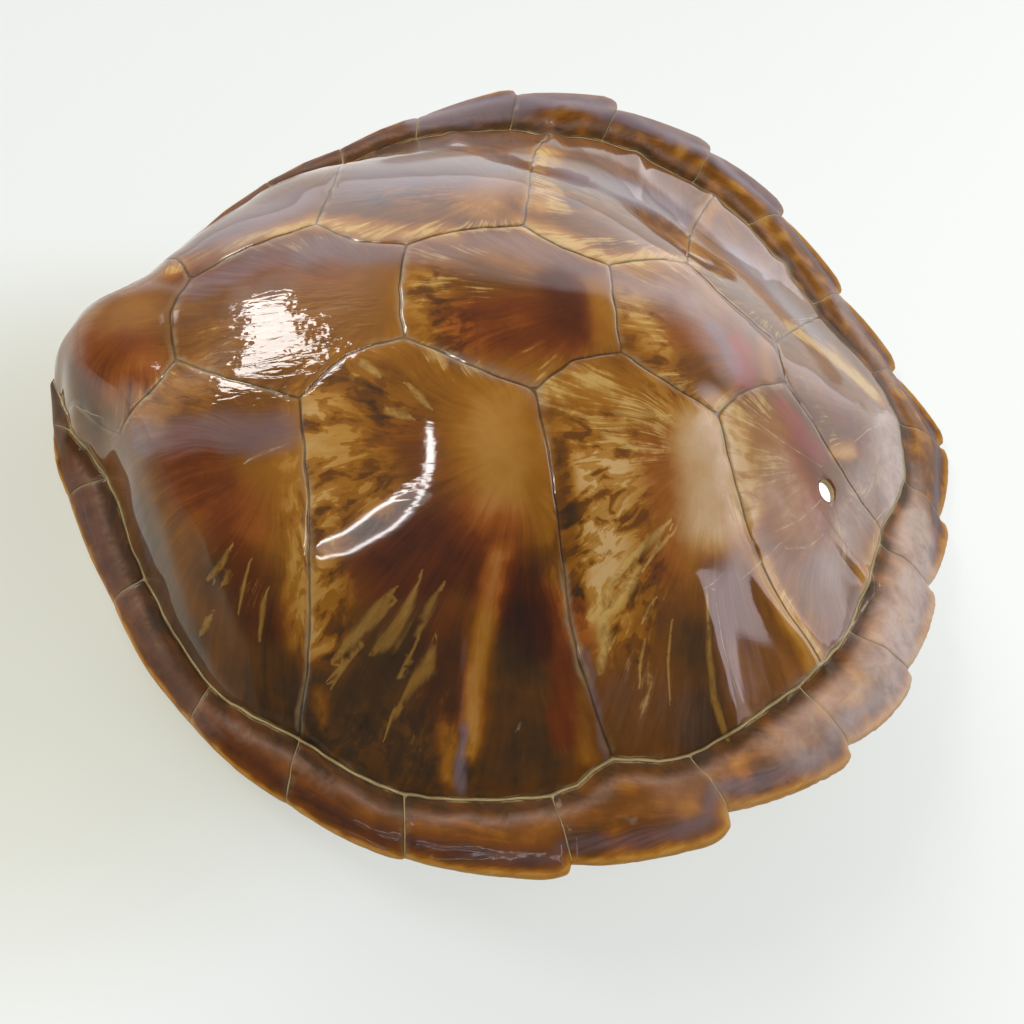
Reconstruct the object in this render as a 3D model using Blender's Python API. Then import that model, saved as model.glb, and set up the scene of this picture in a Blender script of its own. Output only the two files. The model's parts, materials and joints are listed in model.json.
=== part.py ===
"""Carapace of a young green turtle: one closed solid with scute seams, serrated rim, rib ends and a hanging hole.

Metres, +Z up. The head end points to -X and the tail end to +X, the mirror plane is near Y = 0, and the shell
rests with its front rim and its tail on Z = 0. The origin is on the ground, under the middle of the shell's box.

Landmarks are given in millimetres for the left half, Y > 0, and are mirrored. The build lays seam lines, rib
lines and filling points out in plan, joins them by a constrained triangulation and lifts them onto the shell.
"""

import math

import bmesh
import bpy
import numpy as np
from mathutils import Vector
from mathutils.geometry import delaunay_2d_cdt

for leftover in list(bpy.data.objects):
    bpy.data.objects.remove(leftover)

MM = 0.001

# --- Driving dimensions, millimetres -------------------------------------------------------------------------

# Outer rim, from the front edge on the midline to the tail: the notch between each two marginal scutes.
FRONT_EDGE = (-190.0, 0.0, 7.5)
RIM_NOTCHES = [
    (-187.5, 13.5, 6.0),
    (-178.0, 41.0, 2.0),
    (-155.5, 81.0, 4.0),
    (-124.0, 122.5, 9.0),
    (-92.0, 147.5, 13.0),
    (-56.0, 164.5, 19.0),
    (-9.0, 168.5, 34.0),
    (38.0, 156.5, 41.0),
    (83.5, 138.0, 38.0),
    (120.0, 111.0, 28.0),
    (148.0, 75.0, 16.5),
    (173.0, 39.0, 5.5),
]
TAIL_NOTCH = (187.0, 0.0, 3.5)

# How far each marginal bows out of the line between its notches, and how far its rear corner stands out.
# The shell isn't quite even: the left teeth stand out more, and the left rim is drawn in at the shoulder.
MARGINAL_BOW = [1.7, 1.0, 2.2, 1.6, 1.5, 1.2, 1.5, 1.2, 2.4, 1.5, 1.5, 1.5]
RIGHT_TEETH = [0.0, 0.0, 0.0, 0.3, 1.0, 3.6, 6.0, 4.6, 3.4, 3.8, 4.4, 4.0]
LEFT_TEETH = [0.0, 0.0, 0.0, 0.4, 1.4, 4.9, 8.1, 6.2, 6.4, 5.1, 5.9, 5.4]
LEFT_PULL_IN = [0.0, 0.0, 0.0, 2.5, 5.0, 1.5, 0.0, 0.0, 0.0, 0.0, 0.0, 0.0]
# Shares of a marginal's length where its edge has a point, up to the rounded corner and round it.
EDGE_SHARES = (0.16, 0.34, 0.52, 0.68, 0.84, 0.93, 0.98)
CORNER_SHARE = 0.84
CORNER_END = 1.02

# The gutter: the seam between the marginals and the dome. One point for each marginal seam.
NUCHAL_SEAM_MIDDLE = (-186.5, 0.0, 14.5)
GUTTER = [
    (-176.5, 21.0, 15.0),
    (-163.5, 36.0, 9.5),
    (-145.2, 73.2, 7.5),
    (-118.8, 111.0, 10.5),
    (-89.5, 128.8, 14.5),
    (-56.5, 146.5, 20.0),
    (-12.5, 149.0, 29.0),
    (30.0, 139.5, 36.0),
    (72.0, 118.0, 36.0),
    (97.0, 98.0, 33.0),
    (125.5, 60.0, 25.0),
    (150.0, 28.0, 19.0),
]
TAIL_GUTTER = (155.0, 0.0, 20.5)

# Corners of the vertebral and costal scutes, named by the scutes that meet there.
V1_FRONT = (-178.0, 15.5, 16.5)
V1_SIDE = (-151.7, 34.5, 37.0)
V1_V2_C1 = (-133.0, 17.0, 55.5)
V2_C1_C2 = (-92.0, 36.5, 66.5)
V2_V3_C2 = (-61.0, 19.5, 77.5)
V3_C2_C3 = (-20.5, 35.0, 76.0)
V3_V4_C3 = (9.0, 19.0, 77.0)
V4_C3_C4 = (44.0, 34.0, 67.0)
V4_V5_C4 = (80.5, 9.5, 55.0)
C2_C3_GUTTER = (5.5, 140.0, 34.5)
C3_C4_GUTTER = (81.5, 111.0, 34.5)
V5_C4_GUTTER = (128.5, 54.0, 23.5)

# Crest of the dome along the midline, and its flanks between the spine and the gutter.
CREST = [
    (-183.0, 0.0, 24.0),
    (-179.0, 0.0, 33.0),
    (-172.0, 0.0, 43.5),
    (-162.0, 0.0, 51.0),
    (-150.0, 0.0, 55.0),
    (-136.5, 0.0, 57.5),
    (-110.0, 0.0, 65.0),
    (-85.0, 0.0, 72.0),
    (-61.5, 0.0, 78.0),
    (-35.0, 0.0, 80.5),
    (-10.0, 0.0, 81.0),
    (9.0, 0.0, 79.0),
    (31.0, 0.0, 74.0),
    (55.0, 0.0, 66.5),
    (80.5, 0.0, 56.0),
    (105.0, 0.0, 44.0),
    (130.0, 0.0, 31.5),
]
FLANKS = [
    (-171.0, 12.0, 38.5),
    (-160.0, 20.0, 42.5),
    (-147.0, 50.0, 30.0),
    (-131.0, 62.0, 40.0),
    (-118.0, 80.0, 39.0),
    (-110.0, 58.0, 54.5),
    (-104.0, 100.0, 32.0),
    (-89.0, 57.0, 62.0),
    (-88.0, 77.0, 55.0),
    (-87.0, 105.0, 36.0),
    (-17.5, 53.0, 73.5),
    (-13.0, 75.0, 65.0),
    (-8.5, 95.0, 54.0),
    (-3.0, 119.0, 43.5),
    (57.0, 60.0, 51.0),
    (67.0, 86.0, 40.5),
]

# Ribs: head beside the spine, knee, end at the gutter, and how high and how far inwards the end shows above.
RIBS = [
    ((-118.0, 0.0), (-128.0, 50.0), (-134.0, 92.0), 0.5, 30.0),
    ((-92.0, 0.0), (-98.0, 65.0), (-104.0, 123.0), 0.6, 34.0),
    ((-64.0, 0.0), (-68.0, 75.0), (-72.0, 140.0), 0.8, 36.0),
    ((-34.0, 0.0), (-38.0, 80.0), (-39.0, 148.0), 1.1, 34.0),
    ((-4.0, 0.0), (-7.0, 88.0), (6.5, 140.0), 1.8, 48.0),
    ((26.0, 0.0), (36.0, 80.0), (46.0, 132.0), 1.9, 48.0),
    ((52.0, 0.0), (58.0, 76.0), (82.0, 112.0), 2.0, 44.0),
    ((74.0, 0.0), (86.0, 45.0), (113.0, 78.0), 1.9, 40.0),
]
RIB_HALF_WIDTH = 4.5
RIB_BULGE = 2.0
RIB_FADE = 30.0
SPINE_HEIGHT = 5.0
SPINE_HALF_WIDTH = 9.0
SPINE_FADE = 45.0
SPINE_REACH = 143.0

SEAM_HALF_WIDTH = 1.3
SEAM_DEPTH = 0.9
TROUGH_DEPTH = 2.0
TROUGH_OFFSET = 4.0
TROUGH_HALF_WIDTH = 4.5
TROUGH_FULL_AT = 22.0
MARGINAL_CROWN = 2.2
RIM_ROUNDING = 1.0
RIM_INSET = 1.6

EDGE_THICKNESS = 2.4
WALL_THICKNESS = 5.5
WALL_TAPER = 30.0

# A drilled hole in the right rear costal, for a cord.
HOLE_CENTRE = (97.6, -46.0)
HOLE_RADIUS = 4.1
HOLE_SIDES = 20
HOLE_CHAMFER = 0.3

# Worn flats that the shell stands on: two under the front rim and two under the tail.
FOOT_CENTRES = [(-175.0, 38.0), (182.0, 17.0)]
FOOT_RADIUS = 5.0
FOOT_SINK = 6.0

# Fineness of the mesh: steps along lines, and the grids that fill the upper side and the underside.
LINE_STEP = 8.0
TOP_SPACING = 8.5
UNDER_SPACING = 11.0
FILL_GAP = 0.62
HALF_LENGTH = 200.0
HALF_WIDTH = 185.0
SHARP_ANGLE = math.radians(50)

HORN_COLOUR = (0.22, 0.085, 0.02, 1.0)
HORN_ROUGHNESS = 0.22


# --- Plan geometry -------------------------------------------------------------------------------------------


def mirrored(point):
    return (point[0], -point[1], *point[2:])


def both_sides(line):
    """A line of the left half and its mirror image."""
    return [line, [mirrored(point) for point in line]]


def curve_through(points, step=LINE_STEP):
    """Catmull-Rom curve through the points, with even steps between each two of them."""
    points = [np.array(point, float) for point in points]
    ends = [2 * points[0] - points[1], *points, 2 * points[-1] - points[-2]]
    curve = []
    for before, start, end, after in zip(ends, ends[1:], ends[2:], ends[3:]):
        count = max(1, round(float(np.linalg.norm((end - start)[:2])) / step))
        for t in np.arange(count) / count:
            bend = 2 * before - 5 * start + 4 * end - after
            twist = 3 * start - before - 3 * end + after
            curve.append(start + 0.5 * t * ((end - before) + t * (bend + t * twist)))
    return [*curve, points[-1]]


def nearest_on(line, places):
    """Distance from each place to a line in plan, the line's height there and how far along it that is."""
    line = np.array(line)
    start, run = line[:-1], np.diff(line, axis=0)
    lengths = np.linalg.norm(run[:, :2], axis=1)
    offset = places[:, None, :2] - start[None, :, :2]
    share = (offset * run[None, :, :2]).sum(2) / lengths**2
    share = share.clip(0, 1)
    gap = np.linalg.norm(offset - share[:, :, None] * run[None, :, :2], axis=2)
    pick = gap.argmin(1)
    rows = np.arange(len(places))
    along = np.cumsum(lengths)[pick] - (1 - share[rows, pick]) * lengths[pick]
    return gap[rows, pick], start[pick, -1] + share[rows, pick] * run[pick, -1], along


def inside(loop, places):
    """Which places lie inside a closed loop in plan."""
    loop = np.array(loop)[:, :2]
    x, y = places[:, 0], places[:, 1]
    result = np.zeros(len(places), bool)
    for (x0, y0), (x1, y1) in zip(loop, np.roll(loop, -1, axis=0)):
        crosses = (y0 > y) != (y1 > y)
        slope = (x1 - x0) / (y1 - y0) if y1 != y0 else 0.0
        result ^= crosses & (x < x0 + slope * (y - y0))
    return result


def closed_loop(left, right):
    """A loop of two sides that both run from the front midline point to the tail midline point at Y > 0."""
    return [*map(tuple, left), *(mirrored(tuple(point)) for point in right[-2:0:-1])]


def side_line(line, offset, trim=0.0):
    """The part of a line's parallel at a signed distance that stays clear of the line's ends."""
    line = np.array(line)[:, :2]
    tangent = np.gradient(line, axis=0)
    tangent /= np.linalg.norm(tangent, axis=1)[:, None]
    moved = line + offset * np.stack([-tangent[:, 1], tangent[:, 0]], axis=1)
    ends = np.stack([line[0], line[-1]])
    clear = np.linalg.norm(moved[:, None] - ends[None], axis=2).min(1) >= trim
    return [tuple(point) for point in moved[clear]]


# --- Rim, gutter and seams -----------------------------------------------------------------------------------


def marginal_edge(start, end, bow, tooth):
    """Outer edge of one marginal: a bow between its notches and a rounded corner before the rear one."""
    start, end = np.array(start, float), np.array(end, float)
    along = (end - start)[:2]
    outward = np.array([-along[1], along[0]]) / np.linalg.norm(along)
    edge = [start]
    for share in EDGE_SHARES if tooth > RIM_INSET else EDGE_SHARES[::2]:
        if share <= CORNER_SHARE:
            rise = (share / CORNER_SHARE) ** 0.7
        else:
            rise = math.sqrt(1 - ((share - CORNER_SHARE) / (CORNER_END - CORNER_SHARE)) ** 2)
        point = start + share * (end - start)
        point[:2] += outward * (bow * math.sin(math.pi * share) + tooth * rise)
        edge.append(point)
    return edge


def notches_of(is_left):
    pulls = LEFT_PULL_IN if is_left else [0.0] * len(RIM_NOTCHES)
    return [(x, y - pull, z) for (x, y, z), pull in zip(RIM_NOTCHES, pulls)]


def rim_half(is_left):
    """One side's outer rim from the front midline to the tail, laid out at Y > 0."""
    notches = [*notches_of(is_left), TAIL_NOTCH]
    teeth = LEFT_TEETH if is_left else RIGHT_TEETH
    rim = curve_through([FRONT_EDGE, notches[0]])[:-1]
    for start, end, bow, tooth in zip(notches, notches[1:], MARGINAL_BOW, teeth):
        rim += marginal_edge(start, end, bow, tooth)
    return [*rim, np.array(TAIL_NOTCH, float)]


def gutter_half():
    front = [NUCHAL_SEAM_MIDDLE, V1_FRONT, GUTTER[0]]
    rear = [*GUTTER[1:7], C2_C3_GUTTER, GUTTER[7], GUTTER[8], C3_C4_GUTTER, GUTTER[9], GUTTER[10]]
    return curve_through([*front, *rear, V5_C4_GUTTER, GUTTER[11], TAIL_GUTTER])


RIM = closed_loop(rim_half(True), rim_half(False))
GUTTER_HALF = gutter_half()
GUTTER_LOOP = closed_loop(GUTTER_HALF, GUTTER_HALF)
# The smooth line that the marginals' height follows: it leaves out the teeth.
RIM_BASE = closed_loop(*([FRONT_EDGE, *notches_of(is_left), TAIL_NOTCH] for is_left in (True, False)))


def seam_lines():
    """Every seam as a plan line that stops at a junction, in steps of a few millimetres."""
    v1_v2 = [mirrored(V1_V2_C1), (-136.5, 0.0), V1_V2_C1]
    v2_v3 = [mirrored(V2_V3_C2), (-63.0, 0.0), V2_V3_C2]
    v3_v4 = [mirrored(V3_V4_C3), (8.0, 0.0), V3_V4_C3]
    v4_v5 = [mirrored(V4_V5_C4), (80.0, 0.0), V4_V5_C4]
    half = [
        [V1_FRONT, (-171.0, 18.5), (-161.0, 27.0), V1_SIDE],
        [V1_SIDE, (-140.0, 28.5), (-136.5, 23.5), V1_V2_C1],
        [V1_V2_C1, (-115.0, 27.2), V2_C1_C2],
        [V2_C1_C2, (-78.3, 23.8), V2_V3_C2],
        [V2_V3_C2, (-41.0, 28.5), V3_C2_C3],
        [V3_C2_C3, (-7.8, 24.2), V3_V4_C3],
        [V3_V4_C3, (26.0, 27.5), V4_C3_C4],
        [V4_C3_C4, (59.2, 20.2), V4_V5_C4],
        [V4_V5_C4, (94.4, 22.4), (110.9, 38.6), V5_C4_GUTTER],
        [V2_C1_C2, (-87.5, 70.0), (-86.5, 105.0), GUTTER[4]],
        [V3_C2_C3, (-13.4, 75.0), (-6.2, 110.4), C2_C3_GUTTER],
        [V4_C3_C4, (55.6, 62.4), (66.4, 86.2), C3_C4_GUTTER],
    ]
    lines = [v1_v2, v2_v3, v3_v4, v4_v5, [TAIL_GUTTER, TAIL_NOTCH]]
    for line in half:
        lines += both_sides(line)
    lines += [[inner, outer] for inner, outer in zip(GUTTER, notches_of(True))]
    lines += [[mirrored(inner), mirrored(outer)] for inner, outer in zip(GUTTER, notches_of(False))]
    return [curve_through([point[:2] for point in line]) for line in lines]


# --- Height of the shell -------------------------------------------------------------------------------------


def thin_plate(points):
    """Smoothest surface through the points, as a function of plan places."""
    points = np.array(points, float)
    plan = points[:, :2]

    def bend(gap):
        return gap**2 * np.log(gap + 1e-9)

    size = len(points)
    flat = np.hstack([np.ones((size, 1)), plan])
    matrix = np.zeros((size + 3, size + 3))
    matrix[:size, :size] = bend(np.linalg.norm(plan[:, None] - plan[None], axis=2))
    matrix[:size, size:] = flat
    matrix[size:, :size] = flat.T
    weights = np.linalg.solve(matrix, np.append(points[:, 2], [0, 0, 0]))

    def height(places):
        gaps = np.linalg.norm(places[:, None, :2] - plan[None], axis=2)
        return bend(gaps) @ weights[:size] + weights[size] + places[:, :2] @ weights[size + 1 :]

    return height


def dome_points():
    corners = [V1_SIDE, V1_V2_C1, V2_C1_C2, V2_V3_C2, V3_C2_C3, V3_V4_C3, V4_C3_C4, V4_V5_C4]
    half = [*corners, *FLANKS, *GUTTER_HALF[1:-1:2]]
    points = [*CREST, NUCHAL_SEAM_MIDDLE, TAIL_GUTTER]
    for point in half:
        points += [tuple(point), mirrored(tuple(point))]
    return points


def rib_paths():
    """Each rib of both sides as a plan curve from its head to its end, with its rise and its run."""
    paths = []
    for head, knee, end, rise, run in RIBS:
        path = [tuple(point) for point in curve_through([head, knee, end], UNDER_SPACING)]
        paths += [(side, rise, run) for side in both_sides(path)]
    return paths


DOME = thin_plate(dome_points())
RIB_PATHS = rib_paths()


def bump(gap, half_width):
    return np.exp(-((gap / half_width) ** 2))


def rib_ridges(places):
    """Height that the rib ends add to the upper side."""
    total = np.zeros(len(places))
    for path, rise, run in RIB_PATHS:
        gap, _, along = nearest_on(path, places)
        length = np.linalg.norm(np.diff(np.array(path), axis=0), axis=1).sum()
        shown = np.clip(1 - (length - along) / run, 0, 1) ** 0.7
        total += rise * shown * bump(gap, RIB_HALF_WIDTH)
    return total


def upper_height(places):
    """Height of the upper side without its seam grooves."""
    to_gutter, gutter_height, _ = nearest_on([*GUTTER_LOOP, GUTTER_LOOP[0]], places)
    to_rim, rim_height, _ = nearest_on([*RIM_BASE, RIM_BASE[0]], places)
    in_dome = inside(GUTTER_LOOP, places)
    outside_rim = ~inside(RIM_BASE, places)
    share = to_gutter / (to_gutter + np.where(outside_rim, 0.0, to_rim) + 1e-9)
    crown = MARGINAL_CROWN * 4 * share * (1 - share)
    marginal = gutter_height + share * (rim_height - gutter_height) + crown
    height = np.where(in_dome, DOME(places), marginal)
    outward = np.where(in_dome, -to_gutter, to_gutter)
    room = np.clip((to_gutter + to_rim) / TROUGH_FULL_AT, 0, 1)
    trough = TROUGH_DEPTH * room * bump(outward - TROUGH_OFFSET, TROUGH_HALF_WIDTH)
    return height - trough + rib_ridges(places)


def under_height(places):
    """Height of the underside: the wall's thickness below the dome, with spine, ribs and worn feet."""
    to_rim, _, _ = nearest_on([*RIM, RIM[0]], places)
    wall = EDGE_THICKNESS + (WALL_THICKNESS - EDGE_THICKNESS) * np.clip(to_rim / WALL_TAPER, 0, 1)
    wall += SPINE_HEIGHT * np.clip(to_rim / SPINE_FADE, 0, 1) * bump(places[:, 1], SPINE_HALF_WIDTH)
    for path, _, _ in RIB_PATHS:
        gap, _, _ = nearest_on(path, places)
        wall += RIB_BULGE * np.clip(to_rim / RIB_FADE, 0, 1) * bump(gap, RIB_HALF_WIDTH)
    for x, y in FOOT_CENTRES:
        for side in (1, -1):
            gap = np.hypot(places[:, 0] - x, places[:, 1] - side * y)
            wall += FOOT_SINK * np.clip(1.6 - gap / FOOT_RADIUS, 0, 1)
    return np.maximum(upper_height(places) - rib_ridges(places) - wall, 0.0)


# --- Triangulation -------------------------------------------------------------------------------------------


def hole_ring():
    turns = 2 * math.pi * np.arange(HOLE_SIDES) / HOLE_SIDES
    ring = np.array(HOLE_CENTRE) + HOLE_RADIUS * np.column_stack([np.cos(turns), np.sin(turns)])
    return [tuple(point) for point in ring]


def outside_shell(places):
    in_hole = np.hypot(places[:, 0] - HOLE_CENTRE[0], places[:, 1] - HOLE_CENTRE[1]) < HOLE_RADIUS
    return ~inside(RIM, places) | in_hole


class Plan:
    """Points and constraint edges laid out in plan, with how far each point is sunk below the surface."""

    def __init__(self):
        self.points = []
        self.sinks = []
        self.edges = []
        self.index = {}

    def add(self, point, sink=0.0):
        key = (round(float(point[0]), 3), round(float(point[1]), 3))
        if key not in self.index:
            self.index[key] = len(self.points)
            self.points.append(key)
            self.sinks.append(sink)
        return self.index[key]

    def add_line(self, line, sink=0.0, closed=False):
        ids = [self.add(point, sink) for point in line]
        self.edges += list(zip(ids, ids[1:] + ids[:1] if closed else ids[1:]))

    def add_clear(self, line, gap):
        """Adds the line's points that lie on the shell and keep the gap to all that is there."""
        for point in line:
            near = np.array(self.points) - np.array(point)[:2]
            if (near**2).sum(1).min() > gap**2 and not outside_shell(np.array([point]))[0]:
                self.add(point)

    def add_filling(self, spacing):
        """A triangular grid of points over the shell, kept off the points that are already there."""
        row = spacing * math.sqrt(3) / 2
        rows = int(HALF_WIDTH / row)
        columns = int(HALF_LENGTH / spacing)
        fixed = np.array(self.points)
        for j in range(-rows, rows + 1):
            line = [((i + 0.5 * (j % 2)) * spacing, j * row) for i in range(-columns, columns + 1)]
            places = np.array(line)
            gaps = np.linalg.norm(places[:, None] - fixed[None], axis=2).min(1)
            for point in places[(gaps > FILL_GAP * spacing) & ~outside_shell(places)]:
                self.add(point)

    def triangles(self):
        """Triangles of the constrained triangulation whose centre is on the shell."""
        found = delaunay_2d_cdt([Vector(point) for point in self.points], self.edges, [], 0, 1e-4)
        points, faces, sources = found[0], np.array(found[2]), found[3]
        if any(source != [i] for i, source in enumerate(sources)):
            raise ValueError("two lines of the plan cross or touch")
        plan = np.array([tuple(point) for point in points])
        return faces[~outside_shell(plan[faces].mean(1))]


def rib_rows(path, first, last, half_width):
    """Crest and foot lines of a rib between two distances from its head."""
    path = np.array(path)
    along = np.concatenate([[0], np.cumsum(np.linalg.norm(np.diff(path, axis=0), axis=1))])
    stations = np.linspace(first, last, max(2, round((last - first) / UNDER_SPACING) + 1))
    middle = np.column_stack([np.interp(stations, along, path[:, axis]) for axis in (0, 1)])
    return [side_line(middle, offset) for offset in (-half_width, 0.0, half_width)]


def upper_plan():
    plan = Plan()
    plan.add_line(RIM, RIM_ROUNDING, closed=True)
    plan.add_line(hole_ring(), HOLE_CHAMFER, closed=True)
    gutter = [tuple(point[:2]) for point in GUTTER_LOOP]
    plan.add_line(gutter, SEAM_DEPTH, closed=True)
    seams = seam_lines()
    for line in seams:
        plan.add_line(line, SEAM_DEPTH)
    for line in [[*gutter, gutter[0]], *seams]:
        for offset in (SEAM_HALF_WIDTH, -SEAM_HALF_WIDTH):
            plan.add_clear(side_line(line, offset, 2.2 * SEAM_HALF_WIDTH), 0.9 * SEAM_HALF_WIDTH)
    plan.add_clear(side_line([*RIM, RIM[0]], -RIM_INSET), 0.75 * RIM_INSET)
    for path, rise, run in RIB_PATHS:
        length = np.linalg.norm(np.diff(np.array(path), axis=0), axis=1).sum()
        for line in rib_rows(path, length - run, length, 1.5 * RIB_HALF_WIDTH):
            plan.add_clear(line, 0.4 * TOP_SPACING)
    plan.add_filling(TOP_SPACING)
    return plan


def under_plan():
    plan = Plan()
    plan.add_line(RIM, closed=True)
    plan.add_line(hole_ring(), closed=True)
    turns = np.arange(6) * math.pi / 3
    ring = FOOT_RADIUS * np.column_stack([np.cos(turns), np.sin(turns)])
    for centre in FOOT_CENTRES:
        foot = [centre, *(tuple(point) for point in centre + ring)]
        for side in both_sides(foot):
            plan.add_clear(side, 0.4 * FOOT_RADIUS)
    stations = np.arange(-SPINE_REACH, SPINE_REACH, UNDER_SPACING)
    for offset in (0.0, 0.9, -0.9, 1.9, -1.9):
        plan.add_clear([(x, offset * SPINE_HALF_WIDTH) for x in stations], 0.5 * UNDER_SPACING)
    for path, _, _ in RIB_PATHS:
        length = np.linalg.norm(np.diff(np.array(path), axis=0), axis=1).sum()
        for line in rib_rows(path, 3 * SPINE_HALF_WIDTH, length, 1.7 * RIB_HALF_WIDTH):
            plan.add_clear(line, 0.4 * UNDER_SPACING)
    plan.add_filling(UNDER_SPACING)
    return plan


# --- The solid -----------------------------------------------------------------------------------------------


def lifted(plan, height):
    places = np.array(plan.points)
    levels = height(places) - np.array(plan.sinks)
    return np.column_stack([places, levels])


def shell_mesh():
    upper, under = upper_plan(), under_plan()
    upper_points, under_points = lifted(upper, upper_height), lifted(under, under_height)
    box = np.vstack([upper_points, under_points])
    middle = (box.min(0) + box.max(0)) / 2
    shift = np.array([middle[0], middle[1], box[:, 2].min()])
    mesh = bmesh.new()
    tops = [mesh.verts.new(Vector(point - shift) * MM) for point in upper_points]
    bottoms = [mesh.verts.new(Vector(point - shift) * MM) for point in under_points]
    for a, b, c in upper.triangles():
        mesh.faces.new((tops[a], tops[b], tops[c]))
    for a, b, c in under.triangles():
        mesh.faces.new((bottoms[c], bottoms[b], bottoms[a]))
    for loop in ([tuple(point[:2]) for point in RIM], hole_ring()):
        high = [tops[upper.add(point)] for point in loop]
        low = [bottoms[under.add(point)] for point in loop]
        for i in range(len(loop)):
            mesh.faces.new((high[i - 1], high[i], low[i], low[i - 1]))
    bmesh.ops.recalc_face_normals(mesh, faces=mesh.faces)
    bmesh.ops.triangulate(mesh, faces=mesh.faces)
    return mesh


def horn_material():
    material = bpy.data.materials.new("varnished horn")
    material.use_nodes = True
    shader = material.node_tree.nodes["Principled BSDF"]
    shader.inputs["Base Color"].default_value = HORN_COLOUR
    shader.inputs["Roughness"].default_value = HORN_ROUGHNESS
    shader.inputs["Metallic"].default_value = 0.0
    material.diffuse_color = HORN_COLOUR
    return material


def build_carapace():
    solid = shell_mesh()
    data = bpy.data.meshes.new("carapace")
    solid.to_mesh(data)
    solid.free()
    data.shade_smooth()
    data.set_sharp_from_angle(angle=SHARP_ANGLE)
    data.materials.append(horn_material())
    carapace = bpy.data.objects.new("carapace", data)
    bpy.context.scene.collection.objects.link(carapace)
    return carapace


shell = build_carapace()
size_mm = [round(side / MM, 1) for side in shell.dimensions]
print("carapace:", len(shell.data.polygons), "triangles, size in mm", size_mm)
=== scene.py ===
# %% [markdown]
# # The shell of a young turtle, dried and varnished
# A turtle's carapace is bone with a skin of horn plates, the scutes, grown on it. Somebody has cleaned this
# one, drilled it to hang on a cord and varnished it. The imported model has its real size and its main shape.
# This script gives it the fine shape, the horn's flames and mottles, the varnish, and a pale studio.
#
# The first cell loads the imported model, which is the frame that everything else is fitted to.

# %% Load the frame
import json
import math

import bpy
import numpy as np
from mathutils import Matrix, Vector, noise
from mathutils.bvhtree import BVHTree

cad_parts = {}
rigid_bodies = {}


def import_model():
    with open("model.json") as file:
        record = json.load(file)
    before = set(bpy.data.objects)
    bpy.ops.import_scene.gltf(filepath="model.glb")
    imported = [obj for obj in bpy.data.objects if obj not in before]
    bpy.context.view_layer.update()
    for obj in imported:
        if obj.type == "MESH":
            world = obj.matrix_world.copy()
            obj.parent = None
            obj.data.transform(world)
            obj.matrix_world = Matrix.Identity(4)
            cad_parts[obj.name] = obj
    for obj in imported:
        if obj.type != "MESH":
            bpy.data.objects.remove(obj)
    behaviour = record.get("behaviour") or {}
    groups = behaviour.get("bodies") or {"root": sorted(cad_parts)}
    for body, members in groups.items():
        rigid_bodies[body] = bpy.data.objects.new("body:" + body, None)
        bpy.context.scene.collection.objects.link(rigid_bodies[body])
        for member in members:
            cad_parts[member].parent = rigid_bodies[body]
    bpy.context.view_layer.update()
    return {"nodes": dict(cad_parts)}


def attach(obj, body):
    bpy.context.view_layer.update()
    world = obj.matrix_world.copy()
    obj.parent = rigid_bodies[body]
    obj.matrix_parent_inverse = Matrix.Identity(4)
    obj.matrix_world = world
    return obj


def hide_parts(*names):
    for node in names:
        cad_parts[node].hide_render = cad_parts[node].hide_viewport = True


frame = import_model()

MM = 0.001
CARAPACE = frame["nodes"]["carapace"]
print("the packed shell has", len(CARAPACE.data.polygons), "triangles")

# %% [markdown]
# ## Where the scutes meet
# Five vertebral scutes run along the back, four costals lie on each side of them, and a row of marginals
# makes the rim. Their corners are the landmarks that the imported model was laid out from, in millimetres, for
# the half with Y > 0. Repeating them gives the seams exactly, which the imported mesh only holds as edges.

# %% Rim and gutter, millimetres
FRONT_EDGE = (-190.0, 0.0, 7.5)
RIM_NOTCHES = [
    (-187.5, 13.5, 6.0), (-178.0, 41.0, 2.0), (-155.5, 81.0, 4.0), (-124.0, 122.5, 9.0),
    (-92.0, 147.5, 13.0), (-56.0, 164.5, 19.0), (-9.0, 168.5, 34.0), (38.0, 156.5, 41.0),
    (83.5, 138.0, 38.0), (120.0, 111.0, 28.0), (148.0, 75.0, 16.5), (173.0, 39.0, 5.5),
]
TAIL_NOTCH = (187.0, 0.0, 3.5)
MARGINAL_BOW = [1.7, 1.0, 2.2, 1.6, 1.5, 1.2, 1.5, 1.2, 2.4, 1.5, 1.5, 1.5]
RIGHT_TEETH = [0.0, 0.0, 0.0, 0.3, 1.0, 3.6, 6.0, 4.6, 3.4, 3.8, 4.4, 4.0]
LEFT_TEETH = [0.0, 0.0, 0.0, 0.4, 1.4, 4.9, 8.1, 6.2, 6.4, 5.1, 5.9, 5.4]
LEFT_PULL_IN = [0.0, 0.0, 0.0, 2.5, 5.0, 1.5, 0.0, 0.0, 0.0, 0.0, 0.0, 0.0]
EDGE_SHARES = (0.16, 0.34, 0.52, 0.68, 0.84, 0.93, 0.98)
CORNER_SHARE = 0.84
CORNER_END = 1.02
TOOTH_IS_ROUND = 1.6

NUCHAL_SEAM_MIDDLE = (-186.5, 0.0, 14.5)
GUTTER = [
    (-176.5, 21.0, 15.0), (-163.5, 36.0, 9.5), (-145.2, 73.2, 7.5), (-118.8, 111.0, 10.5),
    (-89.5, 128.8, 14.5), (-56.5, 146.5, 20.0), (-12.5, 149.0, 29.0), (30.0, 139.5, 36.0),
    (72.0, 118.0, 36.0), (97.0, 98.0, 33.0), (125.5, 60.0, 25.0), (150.0, 28.0, 19.0),
]
TAIL_GUTTER = (155.0, 0.0, 20.5)
print("rim notches:", len(RIM_NOTCHES), "on each side, and one at the tail")

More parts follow.
